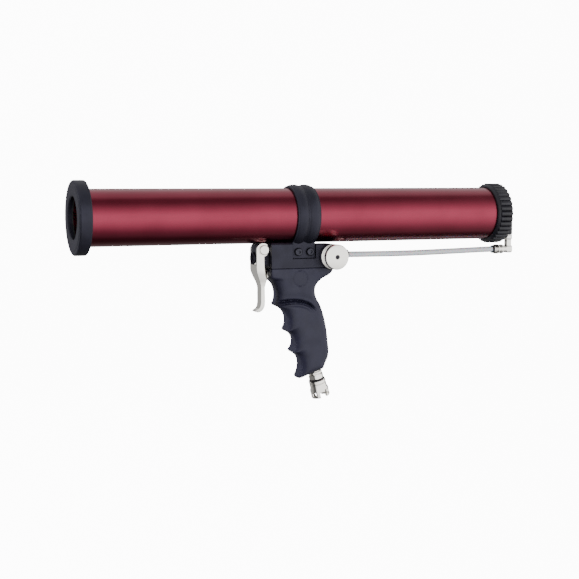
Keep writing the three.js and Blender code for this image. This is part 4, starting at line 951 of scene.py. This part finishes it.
# %% Air arm and bolt
HUB, HUB_REAR, BOLT = cap_rear + 0.3, cap_rear + 13.7, 4.0
hub = turned([
    (BOLT + GAP, HUB), (7.4, HUB), (8.3, HUB + 0.9), (8.3, HUB_REAR - 1.6),
    *arc(6.9, HUB_REAR - 1.4, 1.4, 0, 90, 6),
    (BOLT + GAP, HUB_REAR),
], "x", steps=72)
pipe = turned([(0, ELBOW_TOP), (4.2, ELBOW_TOP), (4.7, ELBOW_TOP + 0.5), (4.7, -7), (0, -7)], "z",
              (LEG_X, 0, 0), 56)
rib = broken(block((HUB + 2.6, HUB_REAR - 2.4), (-2.2, 2.2), (-16.5, -6.5)), 0.8)
bores = [rod("x", BOLT + GAP, HUB - 2, HUB_REAR + 0.01, steps=40),
         rod("z", 2.9, ELBOW_TOP - 1, ELBOW_TOP + 8, (LEG_X, 0, 0), 32),
         rod("z", 1.8, ELBOW_TOP, -8.5, (LEG_X, 0, 0), 24), rod("z", 1.5, -9.5, -3, (LEG_X - 2.1, 0, 0), 24)]
piece("arm", cut(joined(hub, pipe, rib), *bores), ACETAL, "gun_frame", "air_arm")
head_front = HUB_REAR + 1.2
hexagon = rod("x", 5, head_front, head_front + 2, steps=6)
lens = turned([(0, head_front), (4.6, head_front), (5, head_front + 0.4), (5, head_front + 1.5),
               (4.5, head_front + 2), (0, head_front + 2)], "x", steps=48)
bolt = joined(rod("x", BOLT, cap_rear - 8.3, head_front + 0.5, steps=40),
              joined(hexagon, lens, operation="INTERSECT"))
piece("bolt", cut(bolt, rod("x", 1.8, cap_rear - 9, HUB_REAR - 1, steps=24),
                  rod("z", 1.2, -10, 10, (LEG_X - 2.1, 0, 0), 24)), OXIDE, "gun_frame", "arm_bolt")

# %% [markdown]
# ## Air inlet
#
# Air comes in at the foot of the grip, along an axis that leans back by 15 degrees. The inlet is
# modelled upright on that axis, with the air line below, and then leaned into place. A nipple with a
# hexagon screws into the grip, and a claw coupling turns on it.

# %% Nipple and seal
def leaned(bm):
    bmesh.ops.transform(bm, verts=bm.verts, matrix=INLET)
    return bm


nipple = turned([
    (2.8, 12), (4.5, 12), (4.9, 11.6), (4.9, -0.3), (6.6, -0.3), (7, -0.7), (7, -2.1), (6.5, -2.7), (6, -2.9),
    (6, -7.7), (4.6, -7.7), (4.6, -14.7), (2.8, -14.7),
], "z", steps=64)
nut = joined(rod("z", 7.85, -7.7, -3.3, steps=6), turned([
    (0, -7.7), (7.1, -7.7), (7.85, -7.1), (7.85, -3.9), (7.1, -3.3), (0, -3.3)], "z", steps=64),
    operation="INTERSECT")
piece("nipple", leaned(cut(joined(nipple, nut), rod("z", 2.8, -40, 40, steps=40))), NICKEL, "gun_frame",
      "inlet_nipple")
piece("inlet_seal", leaned(turned([(4.9, -9), (7.7, -9), (8, -8.7), (8, -8.3), (7.7, -8), (4.9, -8)], "z",
                                  steps=64)), RUBBER, "gun_frame", "coupling_gasket")

# %% [markdown]
# The coupling is a turned sleeve whose end is milled into two claws with hooked tips. The claws of the
# air line's half slip between them and turn to lock. A slot across the end and two windows in the wall
# leave the hooks, and a small pocket on either side takes the lock's tooth.

# %% Claw coupling
sleeve = turned([
    (4.9, -9.3), (7.8, -9.3), (8.5, -9.9), (8.5, -12.0), (8.1, -12.4), (8.1, -12.9), (8.5, -13.3),
    (8.5, -16.3), (9.4, -18.7), (9.4, -26.2), (8.8, -27.1), (8.2, -27.3), (5.6, -27.3), (5.2, -26.9),
    (5.2, -25.3), (6.8, -25.3), (6.8, -15.1), (4.9, -15.1),
], "z", steps=80)
mill = [broken(block((-3.4, 3.4), (-20, 20), (-40, -21.3)), 1.4,
               where=lambda e: abs(e.verts[0].co.y - e.verts[1].co.y) > 9)]
for y in ((-6.4, -2.4), (2.4, 6.4)):
    mill.append(broken(block((-20, 20), y, (-24.9, -20.9)), 0.9,
                       where=lambda e: abs(e.verts[0].co.x - e.verts[1].co.x) > 9))
for x, y in (((2.2, 7.0), (-12, -3)), ((-7.0, -2.2), (3, 12))):
    mill.append(broken(block(x, y, (-24.3, -19.2)), 0.4))
piece("coupling_sleeve", leaned(cut(sleeve, *mill)), NICKEL, "coupling", "coupling_body", smooth=30, edge=0.2)

# %% [markdown]
# ## Springs
#
# Three coil springs push back the plunger, the spring seat and the poppet. Their shape is right as packed,
# so each is a merged copy of it. A spring gets shorter when its piece moves. The table also gives each
# spring's joint, axis and travel, but the copy here keeps its packed length.

# %% Springs
COILS = (("valve_coil", "valve_spring", "plunger_slide", 0, 3.0),
         ("regulator_coil", "regulator_spring", "spring_seat_slide", 1, 3.05),
         ("poppet_coil", "poppet_spring", "poppet_slide", 1, 0.8))
for name, node, joint, axis, travel in COILS:
    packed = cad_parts[node]
    bm = bmesh.new()
    bm.from_mesh(packed.data)
    bmesh.ops.remove_doubles(bm, verts=bm.verts, dist=1e-6)
    bmesh.ops.transform(bm, verts=bm.verts, matrix=RULER.inverted() @ packed.matrix_world)
    coil = piece(name, bm, SPRING, "gun_frame", node, smooth=60)
    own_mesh(coil)

# %% [markdown]
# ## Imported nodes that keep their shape
#
# The small inner pieces, such as seals, seats and screws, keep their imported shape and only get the
# right finish. Their normals are left as packed.

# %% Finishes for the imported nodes
LOOKS = {
    RUBBER: ("nozzle_gasket", "cap_seal", "piston_seal_front", "piston_seal_rear", "diaphragm", "arm_seal",
             "coupling_washer"),
    OXIDE: ("grip_screw_left", "grip_screw_right", "grip_screw_rear", "adjusting_screw", "spring_seat"),
    SPRING: ("pin_clip",),
    BRASS: ("silencer_disc", "valve_seat", "poppet"),
    BLACK_METAL: ("regulator_bonnet",),
}
for look, names in LOOKS.items():
    for name in names:
        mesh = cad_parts[name].data
        mesh.materials.clear()
        mesh.materials.append(finishes[look])
print("new pieces:", len(made), "kept nodes:", sum(len(names) for names in LOOKS.values()))

# %% [markdown]
# The last step prints the imported model's box.

# %% Sizes, and the end
print("cad box:", cad_box)
